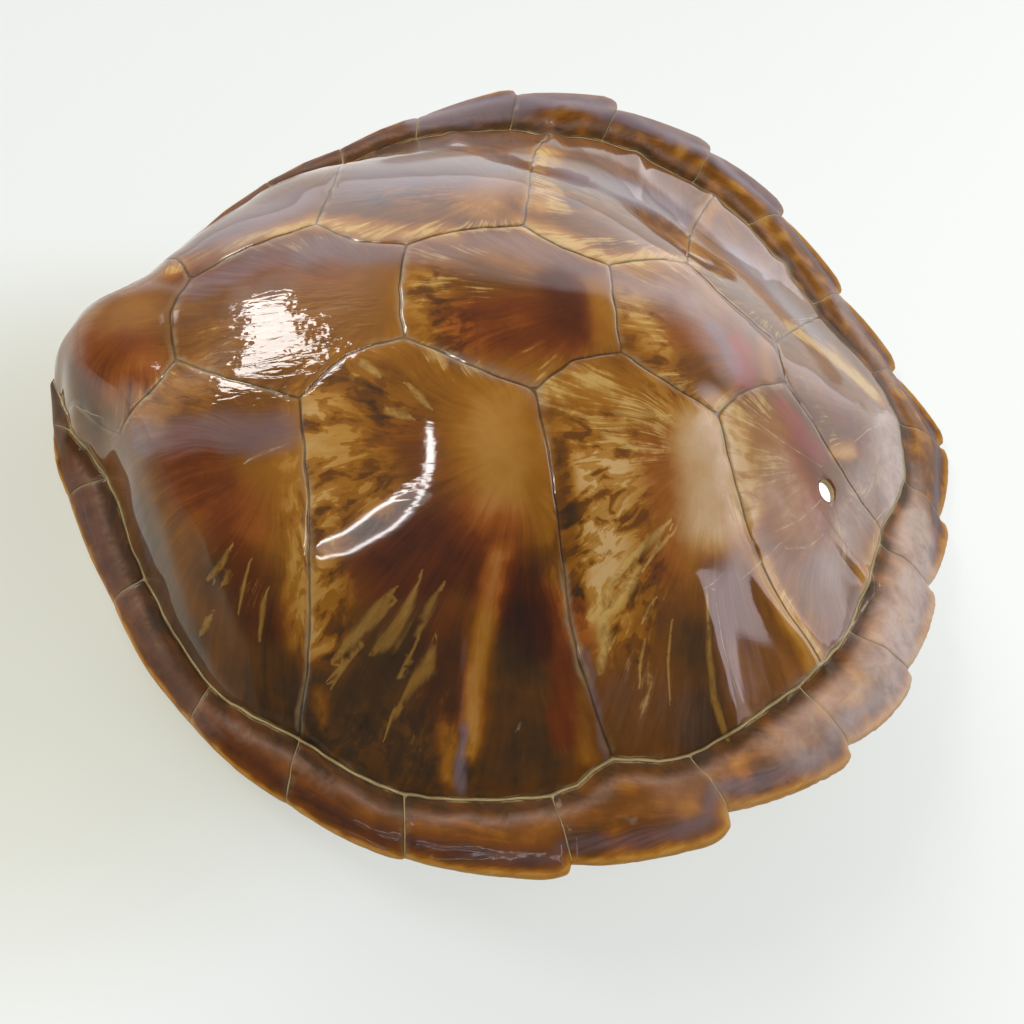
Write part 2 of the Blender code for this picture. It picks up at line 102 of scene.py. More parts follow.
# %% Corners of the scutes, the crest and the flanks, millimetres
V1_FRONT = (-178.0, 15.5, 16.5)
V1_SIDE = (-151.7, 34.5, 37.0)
V1_V2_C1 = (-133.0, 17.0, 55.5)
V2_C1_C2 = (-92.0, 36.5, 66.5)
V2_V3_C2 = (-61.0, 19.5, 77.5)
V3_C2_C3 = (-20.5, 35.0, 76.0)
V3_V4_C3 = (9.0, 19.0, 77.0)
V4_C3_C4 = (44.0, 34.0, 67.0)
V4_V5_C4 = (80.5, 9.5, 55.0)
C2_C3_GUTTER = (5.5, 140.0, 34.5)
C3_C4_GUTTER = (81.5, 111.0, 34.5)
V5_C4_GUTTER = (128.5, 54.0, 23.5)
CREST = [
    (-183.0, 0.0, 24.0), (-179.0, 0.0, 33.0), (-172.0, 0.0, 43.5), (-162.0, 0.0, 51.0),
    (-150.0, 0.0, 55.0), (-136.5, 0.0, 57.5), (-110.0, 0.0, 65.0), (-85.0, 0.0, 72.0),
    (-61.5, 0.0, 78.0), (-35.0, 0.0, 80.5), (-10.0, 0.0, 81.0), (9.0, 0.0, 79.0), (31.0, 0.0, 74.0),
    (55.0, 0.0, 66.5), (80.5, 0.0, 56.0), (105.0, 0.0, 44.0), (130.0, 0.0, 31.5),
]
FLANKS = [
    (-171.0, 12.0, 38.5), (-160.0, 20.0, 42.5), (-147.0, 50.0, 30.0), (-131.0, 62.0, 40.0),
    (-118.0, 80.0, 39.0), (-110.0, 58.0, 54.5), (-104.0, 100.0, 32.0), (-89.0, 57.0, 62.0),
    (-88.0, 77.0, 55.0), (-87.0, 105.0, 36.0), (-17.5, 53.0, 73.5), (-13.0, 75.0, 65.0),
    (-8.5, 95.0, 54.0), (-3.0, 119.0, 43.5), (57.0, 60.0, 51.0), (67.0, 86.0, 40.5),
]
print("landmarks:", len(CREST), "on the crest and", len(FLANKS), "on each flank")

# %% Ribs, the drilled hole and the four worn feet, millimetres
# A rib's head, knee and end in plan, how high its end shows above the gutter, and over what length.
RIBS = [
    ((-118.0, 0.0), (-128.0, 50.0), (-134.0, 92.0), 0.5, 30.0),
    ((-92.0, 0.0), (-98.0, 65.0), (-104.0, 123.0), 0.6, 34.0),
    ((-64.0, 0.0), (-68.0, 75.0), (-72.0, 140.0), 0.8, 36.0),
    ((-34.0, 0.0), (-38.0, 80.0), (-39.0, 148.0), 1.1, 34.0),
    ((-4.0, 0.0), (-7.0, 88.0), (6.5, 140.0), 1.8, 48.0),
    ((26.0, 0.0), (36.0, 80.0), (46.0, 132.0), 1.9, 48.0),
    ((52.0, 0.0), (58.0, 76.0), (82.0, 112.0), 2.0, 44.0),
    ((74.0, 0.0), (86.0, 45.0), (113.0, 78.0), 1.9, 40.0),
]
RIB_HALF_WIDTH = 4.5
RIB_BULGE = 2.0
RIB_FADE = 30.0
SPINE_HEIGHT = 5.0
SPINE_HALF_WIDTH = 9.0
SPINE_FADE = 45.0
HOLE_CENTRE = np.array((97.6, -46.0))
HOLE_RADIUS = 4.1
HOLE_SIDES = 20
FOOT_CENTRES = [(-175.0, 38.0), (182.0, 17.0)]
FOOT_RADIUS = 5.0
FOOT_SPREAD = 1.6
FOOT_SINK = 6.0
EDGE_THICKNESS = 2.4
WALL_THICKNESS = 5.5
WALL_TAPER = 30.0
TROUGH_DEPTH = 2.0
TROUGH_OFFSET = 4.0
TROUGH_HALF_WIDTH = 4.5
TROUGH_FULL_AT = 22.0
MARGINAL_CROWN = 2.2
print("ribs:", len(RIBS), "on each side")

# %% [markdown]
# ## Lines in plan
# A seam is a smooth curve through two to four landmarks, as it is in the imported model, so that the edges of
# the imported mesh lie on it. Every later step asks how far a point is from such a line, so that question gets
# one function.

# %% Curves, and the distance to them
LINE_STEP = 8.0
CHUNK = 6000


def mirrored(point):
    return (point[0], -point[1], *point[2:])


def curve_through(points, step=LINE_STEP):
    """Catmull-Rom curve through the points, with even steps between each two of them."""
    points = [np.array(point, float) for point in points]
    ends = [2 * points[0] - points[1], *points, 2 * points[-1] - points[-2]]
    curve = []
    for before, start, end, after in zip(ends, ends[1:], ends[2:], ends[3:]):
        count = max(1, round(float(np.linalg.norm((end - start)[:2])) / step))
        for t in np.arange(count) / count:
            bend = 2 * before - 5 * start + 4 * end - after
            twist = 3 * start - before - 3 * end + after
            curve.append(start + 0.5 * t * ((end - before) + t * (bend + t * twist)))
    return [*curve, points[-1]]


def nearest_on(line, places):
    """Distance from each place to a line, how far along it that is, and the line's last number there."""
    line = np.array(line, float)
    flat = places.shape[1]
    start, run = line[:-1], np.diff(line, axis=0)
    lengths = np.linalg.norm(run[:, :flat], axis=1) + 1e-12
    ends = np.cumsum(lengths)
    found = []
    for first in range(0, len(places), CHUNK):
        some = places[first : first + CHUNK]
        offset = some[:, None] - start[None, :, :flat]
        share = ((offset * run[None, :, :flat]).sum(2) / lengths**2).clip(0, 1)
        gap = np.linalg.norm(offset - share[:, :, None] * run[None, :, :flat], axis=2)
        pick = gap.argmin(1)
        rows = np.arange(len(some))
        share = share[rows, pick]
        along = ends[pick] - (1 - share) * lengths[pick]
        found.append(np.column_stack([gap[rows, pick], along, start[pick, -1] + share * run[pick, -1]]))
    return np.vstack(found).T


def inside(loop, places):
    """Which places lie inside a closed loop in plan."""
    loop = np.array(loop)[:, :2]
    x, y = places[:, 0], places[:, 1]
    result = np.zeros(len(places), bool)
    for (x0, y0), (x1, y1) in zip(loop, np.roll(loop, -1, axis=0)):
        slope = (x1 - x0) / (y1 - y0) if y1 != y0 else 0.0
        result ^= ((y0 > y) != (y1 > y)) & (x < x0 + slope * (y - y0))
    return result


def closed_loop(left, right):
    """A loop of two sides that both run from the front midline point to the tail midline point at Y > 0."""
    return [*map(tuple, left), *(mirrored(tuple(point)) for point in right[-2:0:-1])]


def bump(gap, half_width):
    return np.exp(-((gap / half_width) ** 2))


def ease(value, low, high):
    """Smooth step from 0 at low to 1 at high."""
    share = np.clip((value - low) / (high - low), 0, 1)
    return share * share * (3 - 2 * share)


# %% The rim, the gutter and every seam
def marginal_edge(start, end, bow, tooth):
    """Outer edge of one marginal: a bow between its notches and a rounded corner before the rear one."""
    start, end = np.array(start, float), np.array(end, float)
    along = (end - start)[:2]
    outward = np.array([-along[1], along[0]]) / np.linalg.norm(along)
    edge = [start]
    for share in EDGE_SHARES if tooth > TOOTH_IS_ROUND else EDGE_SHARES[::2]:
        if share <= CORNER_SHARE:
            rise = (share / CORNER_SHARE) ** 0.7
        else:
            rise = math.sqrt(1 - ((share - CORNER_SHARE) / (CORNER_END - CORNER_SHARE)) ** 2)
        point = start + share * (end - start)
        point[:2] += outward * (bow * math.sin(math.pi * share) + tooth * rise)
        edge.append(point)
    return edge


def notches_of(is_left):
    pulls = LEFT_PULL_IN if is_left else [0.0] * len(RIM_NOTCHES)
    return [(x, y - pull, z) for (x, y, z), pull in zip(RIM_NOTCHES, pulls)]


def rim_pieces(is_left):
    """One side's outer rim at Y > 0, as the nuchal's edge and then one edge for each marginal."""
    notches = [*notches_of(is_left), TAIL_NOTCH]
    teeth = LEFT_TEETH if is_left else RIGHT_TEETH
    pieces = [curve_through([FRONT_EDGE, notches[0]])]
    for start, end, bow, tooth in zip(notches, notches[1:], MARGINAL_BOW, teeth):
        pieces.append([*marginal_edge(start, end, bow, tooth), np.array(end, float)])
    return pieces


def joined(pieces):
    return [*(point for piece in pieces for point in piece[:-1]), pieces[-1][-1]]


def gutter_half():
    front = [NUCHAL_SEAM_MIDDLE, V1_FRONT, GUTTER[0]]
    rear = [*GUTTER[1:7], C2_C3_GUTTER, GUTTER[7], GUTTER[8], C3_C4_GUTTER, GUTTER[9], GUTTER[10]]
    return curve_through([*front, *rear, V5_C4_GUTTER, GUTTER[11], TAIL_GUTTER])


RIM = closed_loop(joined(rim_pieces(True)), joined(rim_pieces(False)))
RIM_RING = [*RIM, RIM[0]]
RIM_BASE = closed_loop(*([FRONT_EDGE, *notches_of(is_left), TAIL_NOTCH] for is_left in (True, False)))
GUTTER_HALF = gutter_half()
GUTTER_LOOP = closed_loop(GUTTER_HALF, GUTTER_HALF)
GUTTER_RING = [*GUTTER_LOOP, GUTTER_LOOP[0]]

SPINE_SEAMS = [
    [mirrored(V1_V2_C1), (-136.5, 0.0), V1_V2_C1],
    [mirrored(V2_V3_C2), (-63.0, 0.0), V2_V3_C2],
    [mirrored(V3_V4_C3), (8.0, 0.0), V3_V4_C3],
    [mirrored(V4_V5_C4), (80.0, 0.0), V4_V5_C4],
]
HALF_SEAMS = [
    [V1_FRONT, (-171.0, 18.5), (-161.0, 27.0), V1_SIDE],
    [V1_SIDE, (-140.0, 28.5), (-136.5, 23.5), V1_V2_C1],
    [V1_V2_C1, (-115.0, 27.2), V2_C1_C2],
    [V2_C1_C2, (-78.3, 23.8), V2_V3_C2],
    [V2_V3_C2, (-41.0, 28.5), V3_C2_C3],
    [V3_C2_C3, (-7.8, 24.2), V3_V4_C3],
    [V3_V4_C3, (26.0, 27.5), V4_C3_C4],
    [V4_C3_C4, (59.2, 20.2), V4_V5_C4],
    [V4_V5_C4, (94.4, 22.4), (110.9, 38.6), V5_C4_GUTTER],
    [V2_C1_C2, (-87.5, 70.0), (-86.5, 105.0), GUTTER[4]],
    [V3_C2_C3, (-13.4, 75.0), (-6.2, 110.4), C2_C3_GUTTER],
    [V4_C3_C4, (55.6, 62.4), (66.4, 86.2), C3_C4_GUTTER],
]


def plan_curve(line):
    return [tuple(point) for point in curve_through([point[:2] for point in line])]


def dome_seams():
    halves = [plan_curve(line) for line in HALF_SEAMS]
    return [*map(plan_curve, SPINE_SEAMS), *halves, *([mirrored(p) for p in line] for line in halves)]


def marginal_seams():
    left = [[inner[:2], outer[:2]] for inner, outer in zip(GUTTER, notches_of(True))]
    right = [[mirrored(inner[:2]), mirrored(outer[:2])] for inner, outer in zip(GUTTER, notches_of(False))]
    return [plan_curve(line) for line in [*left, *right, [TAIL_GUTTER[:2], TAIL_NOTCH[:2]]]]


DOME_SEAMS = dome_seams()
MARGINAL_SEAMS = marginal_seams()
rim_plan = np.array([point[:2] for point in RIM])
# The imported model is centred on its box, and the landmarks aren't.
SHIFT = (rim_plan.max(0) + rim_plan.min(0)) / 2
print("seams:", len(DOME_SEAMS), "on the dome,", len(MARGINAL_SEAMS), "on the rim; shift in mm:", SHIFT)

# %% [markdown]
# ## The shell's own surface
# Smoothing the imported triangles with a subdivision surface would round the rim's teeth away and shrink the
# dome. So the same surface is worked out again: for the dome a thin plate, the smoothest surface through the
# landmarks, then a crowned strip for the marginals, a trough beside the gutter, and low ridges where the ribs
# end.


# %% Height of the upper side and of the underside
def thin_plate(points):
    """Smoothest surface through the points, as a function of plan places."""
    points = np.array(points, float)
    plan = points[:, :2]

    def bend(gap):
        return gap**2 * np.log(gap + 1e-9)

    size = len(points)
    flat = np.hstack([np.ones((size, 1)), plan])
    matrix = np.zeros((size + 3, size + 3))
    matrix[:size, :size] = bend(np.linalg.norm(plan[:, None] - plan[None], axis=2))
    matrix[:size, size:] = flat
    matrix[size:, :size] = flat.T
    weights = np.linalg.solve(matrix, np.append(points[:, 2], [0, 0, 0]))

    def height(places):
        level = weights[size] + places[:, :2] @ weights[size + 1 :]
        for first in range(0, len(places), CHUNK):
            some = slice(first, first + CHUNK)
            level[some] += bend(np.linalg.norm(places[some, None, :2] - plan[None], axis=2)) @ weights[:size]
        return level

    return height


def dome_points():
    corners = [V1_SIDE, V1_V2_C1, V2_C1_C2, V2_V3_C2, V3_C2_C3, V3_V4_C3, V4_C3_C4, V4_V5_C4]
    points = [*CREST, NUCHAL_SEAM_MIDDLE, TAIL_GUTTER]
    for point in [*corners, *FLANKS, *GUTTER_HALF[1:-1:2]]:
        points += [tuple(point), mirrored(tuple(point))]
    return points


def rib_paths():
    """Each rib as a plan curve, with the height its end shows and over what length, for both sides."""
    paths = []
    for head, knee, end, rise, run in RIBS:
        path = [tuple(point) for point in curve_through([head, knee, end], 11.0)]
        paths += [(path, rise, run), ([mirrored(point) for point in path], rise, run)]
    return paths


DOME = thin_plate(dome_points())
RIB_PATHS = rib_paths()
print("the dome's height at the middle in mm:", DOME(np.zeros((1, 2))).round(1))


def rib_ridges(places):
    total = np.zeros(len(places))
    for path, rise, run in RIB_PATHS:
        gap, along, _ = nearest_on(path, places)
        length = np.linalg.norm(np.diff(np.array(path), axis=0), axis=1).sum()
        total += rise * np.clip(1 - (length - along) / run, 0, 1) ** 0.7 * bump(gap, RIB_HALF_WIDTH)
    return total


def upper_height(places):
    """Height of the upper side without its seams and rib ends, and the signed distance outside the gutter."""
    to_gutter, _, gutter_height = nearest_on(GUTTER_RING, places)
    to_rim, _, rim_height = nearest_on([*RIM_BASE, RIM_BASE[0]], places)
    in_dome = inside(GUTTER_LOOP, places)
    to_rim_inside = np.where(inside(RIM_BASE, places), to_rim, 0.0)
    share = to_gutter / (to_gutter + to_rim_inside + 1e-9)
    marginal = gutter_height + share * (rim_height - gutter_height) + MARGINAL_CROWN * 4 * share * (1 - share)
    height = np.where(in_dome, DOME(places), marginal)
    outward = np.where(in_dome, -to_gutter, to_gutter)
    room = np.clip((to_gutter + to_rim) / TROUGH_FULL_AT, 0, 1)
    trough = TROUGH_DEPTH * room * bump(outward - TROUGH_OFFSET, TROUGH_HALF_WIDTH)
    return height - trough, outward


def wall_thickness(places, to_edge):
    """Thickness of horn and bone, with the spine, the ribs and the worn feet that stand out below."""
    wall = EDGE_THICKNESS + (WALL_THICKNESS - EDGE_THICKNESS) * np.clip(to_edge / WALL_TAPER, 0, 1)
    wall += SPINE_HEIGHT * np.clip(to_edge / SPINE_FADE, 0, 1) * bump(places[:, 1], SPINE_HALF_WIDTH)
    for path, _, _ in RIB_PATHS:
        gap, _, _ = nearest_on(path, places)
        wall += RIB_BULGE * np.clip(to_edge / RIB_FADE, 0, 1) * bump(gap, RIB_HALF_WIDTH)
    for x, y in FOOT_CENTRES:
        for side in (1, -1):
            gap = np.hypot(places[:, 0] - x, places[:, 1] - side * y)
            wall += FOOT_SINK * np.clip(FOOT_SPREAD - gap / FOOT_RADIUS, 0, 1)
    return wall


# %% [markdown]
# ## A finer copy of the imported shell
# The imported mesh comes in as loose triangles, so its copy is welded first. Its seams are then marked as
# Blender seams, which lets one click, Select Linked within seams, pick a whole scute. Each scute keeps its
# number as a face attribute. Then every triangle is cut into twenty-five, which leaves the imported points
# where they are.

# %% Weld the copy
WELD = 1e-6


def numbers_of(collection, name, width=1, kind=float):
    """One property of every item in a collection, as an array."""
    values = np.empty(len(collection) * width, kind)
    collection.foreach_get(name, values)
    return values.reshape(-1, width) if width > 1 else values


def millimetres(mesh):
    """A mesh's points in millimetres, moved to where the landmarks are given."""
    return numbers_of(mesh.vertices, "co", 3) / MM + (*SHIFT, 0.0)


def keep(name, values, kind="FLOAT", domain="POINT"):
    """Stores a number or a vector for each point, face or face corner of the shell."""
    values = np.asarray(values, np.int32 if kind == "INT" else np.float32)
    slot = "vector" if kind == "FLOAT_VECTOR" else "value"
    mesh.attributes.new(name, kind, domain).data.foreach_set(slot, values.ravel())


bpy.ops.object.select_all(action="DESELECT")
shell = bpy.data.objects.new("varnished_shell", CARAPACE.data.copy())
bpy.context.scene.collection.objects.link(shell)
shell.select_set(True)
bpy.context.view_layer.objects.active = shell
mesh = shell.data
mesh.materials.clear()
bpy.ops.mesh.customdata_custom_splitnormals_clear()
bpy.ops.object.mode_set(mode="EDIT")
bpy.ops.mesh.select_mode(type="FACE")
bpy.ops.mesh.select_all(action="SELECT")
bpy.ops.mesh.remove_doubles(threshold=WELD)
bpy.ops.object.mode_set(mode="OBJECT")
print("welded:", len(mesh.vertices), "points,", len(mesh.polygons), "triangles")

# %% Tell the upper side from the underside
RIM_ROUNDING = 1.0

points = millimetres(mesh)
height, _ = upper_height(points[:, :2])
to_edge, _, _ = nearest_on(RIM_RING, points[:, :2])
under = np.maximum(height - wall_thickness(points[:, :2], to_edge), 0)
is_upper = points[:, 2] > (height - RIM_ROUNDING + under) / 2
keep("upper", is_upper)
print("points above:", is_upper.sum(), "and below:", (~is_upper).sum())

# %% Mark the seams
ON_THE_LINE = 0.05

turns = 2 * math.pi * np.arange(HOLE_SIDES + 1) / HOLE_SIDES
hole_ring = HOLE_CENTRE + HOLE_RADIUS * np.column_stack([np.cos(turns), np.sin(turns)])
edges = numbers_of(mesh.edges, "vertices", 2, int)
middles = points[edges].mean(1)[:, :2]
lines = [*DOME_SEAMS, *MARGINAL_SEAMS, GUTTER_RING, RIM_RING, hole_ring]
to_lines = np.min([nearest_on(line, middles)[0] for line in lines], axis=0)
is_seam = is_upper[edges].all(1) & (to_lines < ON_THE_LINE)
mesh.edges.foreach_set("use_seam", is_seam)
print("seam edges:", is_seam.sum())

# %% [markdown]
# ## Growth centres
# Horn is laid down from one place in each scute, near its rear and upper corner, and its streaks fan out from
# there. The material needs that place for every scute, so each gets a name, a place inside it and a centre.

# %% Name each scute, with a place inside it and its growth centre, millimetres
VERTEBRALS = [(-158.0, -139.0), (-98.0, -69.0), (-27.0, 3.0), (46.0, 72.0), (118.0, 150.0)]
COSTALS = [
    ((-118.0, 62.0), (-94.0, 50.0)),
    ((-46.0, 90.0), (-26.0, 53.0)),
    ((28.0, 84.0), (43.0, 46.0)),
    ((98.0, 62.0), (101.0, 39.0)),
]
MARGINAL_CENTRE_INWARDS = 0.2


def scutes():
    found = [((x, 0.0), (centre, 0.0)) for x, centre in VERTEBRALS]
    for place, centre in COSTALS:
        found += [(place, centre), (mirrored(place), mirrored(centre))]
    for is_left in (True, False):
        outer = [np.array(point[:2]) for point in [*notches_of(is_left), TAIL_NOTCH]]
        inner = [np.array(point[:2]) for point in [*GUTTER, TAIL_GUTTER]]
        for i in range(len(GUTTER)):
            place = (outer[i] + outer[i + 1] + inner[i] + inner[i + 1]) / 4
            centre = outer[i + 1] + MARGINAL_CENTRE_INWARDS * (inner[i + 1] - outer[i + 1])
            pair = tuple(place), tuple(centre)
            found.append(pair if is_left else (mirrored(pair[0]), mirrored(pair[1])))
    nuchal = (FRONT_EDGE[0] + NUCHAL_SEAM_MIDDLE[0]) / 2
    return [*found, ((nuchal, 0.0), (NUCHAL_SEAM_MIDDLE[0], 0.0))]


SCUTES = scutes()
print("scutes:", len(SCUTES))

# %% Pick each scute within its seams and number its faces
OUT_OF_REACH = 1e3

faces = numbers_of(mesh.polygons, "vertices", 3, int)
face_places = points[faces].mean(1)[:, :2]
face_on_top = is_upper[faces].all(1)
scute_of_face = np.zeros(len(faces), int)
for number, (place, _) in enumerate(SCUTES, 1):
    gaps = np.linalg.norm(face_places - place, axis=1) + np.where(face_on_top, 0, OUT_OF_REACH)
    bpy.ops.object.mode_set(mode="EDIT")
    bpy.ops.mesh.select_all(action="DESELECT")
    bpy.ops.object.mode_set(mode="OBJECT")
    mesh.polygons[int(gaps.argmin())].select = True
    bpy.ops.object.mode_set(mode="EDIT")
    bpy.ops.mesh.select_linked(delimit={"SEAM"})
    bpy.ops.object.mode_set(mode="OBJECT")
    picked = numbers_of(mesh.polygons, "select", kind=bool)
    scute_of_face[picked] = number
keep("scute", scute_of_face, "INT", "FACE")
print("faces in a scute:", (scute_of_face > 0).sum(), "and in none, below:", (scute_of_face == 0).sum())

# %% Cut every triangle into twenty-five
CUTS = 4

bpy.ops.object.mode_set(mode="EDIT")
bpy.ops.mesh.select_all(action="SELECT")
bpy.ops.mesh.subdivide(number_cuts=CUTS)
bpy.ops.object.mode_set(mode="OBJECT")
points = millimetres(mesh)
upper = numbers_of(mesh.attributes["upper"].data, "value")
scute_of_face = numbers_of(mesh.attributes["scute"].data, "value", kind=int)
print("fine copy:", len(points), "points,", len(mesh.polygons), "faces")

# %% [markdown]
# ## Fine shape
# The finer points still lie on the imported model's flat triangles. They are now moved: first in plan, so that
# the rim's short straight steps become smooth edges, the hole becomes round and the edge gets small chips,
# and then in height, onto the smooth surface, with grooved seams, rib ends, lumps in the varnish and a bony
# underside.


# %% Move points in plan: rim, chips and hole
def ring_samples(ring):
    """A closed line's points and how far along each lies."""
    ring = np.array(ring)[:, :2]
    along = np.concatenate([[0], np.cumsum(np.linalg.norm(np.diff(ring, axis=0), axis=1))])
    return ring, along


def rim_rounding():
    """How far a smooth edge from notch to notch lies from the rim's straight steps, along the rim."""
    ring = np.array(RIM)[:, :2]
    notches = [*notches_of(True), *map(mirrored, notches_of(False)), TAIL_NOTCH]
    corners = np.array([point[:2] for point in notches])
    is_corner = np.linalg.norm(ring[:, None] - corners[None], axis=2).min(1) < ON_THE_LINE
    run = np.roll(ring, -1, axis=0) - ring
    length = np.linalg.norm(run, axis=1)
    way = run / length[:, None]
    smooth_way = (way + np.roll(way, 1, axis=0)) / 2
    places, moves, start = [], [], 0.0
    for i in range(len(ring)):
        j = (i + 1) % len(ring)
        leave = way[i] if is_corner[i] else smooth_way[i]
        arrive = way[i] if is_corner[j] else smooth_way[j]
        for t in (0, 0.25, 0.5, 0.75):
            places.append(start + t * length[i])
            moves.append(length[i] * t * (1 - t) * ((1 - t) * (leave - way[i]) - t * (arrive - way[i])))
        start += length[i]
    return np.array(places), np.array(moves)


def wavy(places, size, seed):
    """Smooth noise from -1 to 1 at each place, with bumps about as wide as the size."""
    offset = 10.0 * seed
    return np.array([noise.noise((x / size + offset, y / size, offset)) for x, y in places[:, :2]])


EDGE_ROUND = 0.5
EDGE_REACH = 3.0
ROUND_REACH = 8.0
CHIP_DEPTH = 0.7
CHIP_SIZE = 3.2
CHIPS_FROM = 0.0
CHIPS_FULL = 110.0
LEAST_CHIPS = 0.3
HOLE_REACH = 4.0

ring, ring_along = ring_samples(RIM_RING)
plan = points[:, :2].copy()
to_edge, along_edge, _ = nearest_on(RIM_RING, plan)
places, moves = rim_rounding()
near_edge = np.clip(1 - to_edge / ROUND_REACH, 0, 1)
for axis in (0, 1):
    plan[:, axis] += near_edge * np.interp(along_edge, places, moves[:, axis])
ahead, behind = (along_edge + 1) % ring_along[-1], (along_edge - 1) % ring_along[-1]
way = np.column_stack([
    np.interp(ahead, ring_along, line) - np.interp(behind, ring_along, line) for line in ring.T
])
way /= np.linalg.norm(way, axis=1)[:, None]
inwards = np.column_stack([way[:, 1], -way[:, 0]])
roundness = np.where((upper > 0) & (upper < 1), 1 - np.sqrt(1 - (2 * upper - 1) ** 2), 1.0)
rough = np.abs(wavy(plan, CHIP_SIZE, 1)) + np.clip(wavy(plan, 3 * CHIP_SIZE, 2) - 0.25, 0, 1)
rough *= LEAST_CHIPS + (1 - LEAST_CHIPS) * ease(plan[:, 0], CHIPS_FROM, CHIPS_FULL)
inset = EDGE_ROUND * roundness + CHIP_DEPTH * rough
plan += inwards * (inset * np.clip(1 - to_edge / EDGE_REACH, 0, 1) ** 2)[:, None]
from_hole = plan - HOLE_CENTRE
radius = np.linalg.norm(from_hole, axis=1)
step = 2 * math.pi / HOLE_SIDES
turn = np.arctan2(from_hole[:, 1], from_hole[:, 0]) % step - step / 2
flatness = math.cos(step / 2) / np.cos(turn)
near_hole = np.clip(1 - (radius - HOLE_RADIUS) / HOLE_REACH, 0, 1)
plan += from_hole * (near_hole * (1 / flatness - 1))[:, None]
print("moved in plan by up to", np.linalg.norm(plan - points[:, :2], axis=1).max().round(2), "mm")

# %% Work out the seams' grooves, and how far the seams wander
SEAM_WAVE = 0.5
SEAM_WAVE_SIZE = 7.0
GROOVE = 0.28
GROOVE_HALF_WIDTH = 0.45
DIP = 0.14
DIP_HALF_WIDTH = 1.6

to_edge, _, _ = nearest_on(RIM_RING, plan)
to_dome_seam = np.min([nearest_on(line, plan)[0] for line in DOME_SEAMS], axis=0)
to_rim_seam = np.min([nearest_on(line, plan)[0] for line in MARGINAL_SEAMS], axis=0)
to_gutter = nearest_on(GUTTER_RING, plan)[0]
to_seam = np.minimum(np.minimum(to_dome_seam, to_rim_seam), to_gutter)
groove = GROOVE * bump(to_seam, GROOVE_HALF_WIDTH) + DIP * bump(to_seam, DIP_HALF_WIDTH)
wander = SEAM_WAVE * np.column_stack([wavy(plan, SEAM_WAVE_SIZE, 3), wavy(plan, SEAM_WAVE_SIZE, 4)])
wander *= (ease(to_edge, 1, 8) * ease(radius, HOLE_RADIUS + 1, HOLE_RADIUS + 6))[:, None]
print("points in a seam:", (to_seam < GROOVE_HALF_WIDTH).sum())

# %% Set the heights
LUMP = 0.035
LUMP_SIZE = 22.0
RIM_LUMP = 0.09
RIM_LUMP_SIZE = 9.0
SPARE = 0.12
BONE_LUMP = 0.3
BONE_LUMP_SIZE = 9.0
HOLE_CHAMFER = 0.3
HOLE_THINNING = 2.4
HOLE_THIN_REACH = 9.0
CORNER_REACH = 1.6
LEAST_WALL = 0.8

smooth_height, outward = upper_height(plan)
wall = wall_thickness(plan, to_edge) - HOLE_THINNING * bump(radius - HOLE_RADIUS, HOLE_THIN_REACH)
corner = np.clip(1 - to_edge / CORNER_REACH, 0, 1)
chamfer = HOLE_CHAMFER * np.clip(1 - (np.linalg.norm(plan - HOLE_CENTRE, axis=1) - HOLE_RADIUS), 0, 1)
worn = ease(outward, -2, 3) + ease(plan[:, 0], 80, 130)
lumps = LUMP * wavy(plan, LUMP_SIZE, 5) + RIM_LUMP * worn.clip(0, 1) * wavy(plan, RIM_LUMP_SIZE, 6)
top = smooth_height + rib_ridges(plan) - groove - SPARE + lumps * ease(to_edge, 0, 6)
top -= RIM_ROUNDING * corner**2 + chamfer
bottom = smooth_height - wall + BONE_LUMP * wavy(plan, BONE_LUMP_SIZE, 7) * ease(to_edge, 2, 12)
bottom = np.maximum(bottom, 0.0)
full = np.maximum(top - bottom, LEAST_WALL)
points = np.column_stack([plan + wander - SHIFT, bottom + upper * full])
mesh.vertices.foreach_set("co", (points * MM).ravel())
mesh.update()
print("highest point in mm:", points[:, 2].max().round(2))

# %% [markdown]
# ## What the horn's colours hang on
# The colours follow the animal: streaks fan out from each scute's growth centre, pale horn lies along some
# edges, dark cores in the middles. The streaks need a coordinate that runs round and out from the centre. It
# is kept for each face corner, because it jumps at a seam. The broad patches are painted as strokes, each a
# path over the photograph, which the camera throws onto the shell.

# %% Streak coordinates, for each face corner, and how clear of the growth centre it is
STREAKS_ROUND = 9.0
STREAK_LENGTH = 26.0
STREAK_SWAY = 3.0
STREAK_SWAY_SIZE = 24.0
SCUTES_APART = 5.0
CENTRE_BLUR = (5.0, 30.0)

centres = np.array([(0.0, 0.0), *(centre for _, centre in SCUTES)])
corner_point = numbers_of(mesh.loops, "vertex_index", kind=int)
corner_scute = np.repeat(scute_of_face, numbers_of(mesh.polygons, "loop_total", kind=int))
sway = STREAK_SWAY * np.column_stack([wavy(plan, STREAK_SWAY_SIZE, 8), wavy(plan, STREAK_SWAY_SIZE, 9)])
from_centre = (plan + sway)[corner_point] - centres[corner_scute]
out = np.linalg.norm(from_centre, axis=1) + 1e-6
along_streak = out / STREAK_LENGTH + SCUTES_APART * corner_scute
growth = np.column_stack([STREAKS_ROUND * from_centre / out[:, None], along_streak])
keep("growth", growth, "FLOAT_VECTOR", "CORNER")
keep("clear_of_centre", ease(out, *CENTRE_BLUR), domain="CORNER")
print("streak coordinates:", len(growth))

# %% The camera stands where the photographer stood
PHOTO_SIZE = 1024
FOCAL_PIXELS = 750.0
SENSOR = 36.0
CAMERA_PLACE = (-0.06534, -0.17173, 0.26392)
CAMERA_TURN = (26.46, -9.424, -2.546)
CLIP_START = 0.01

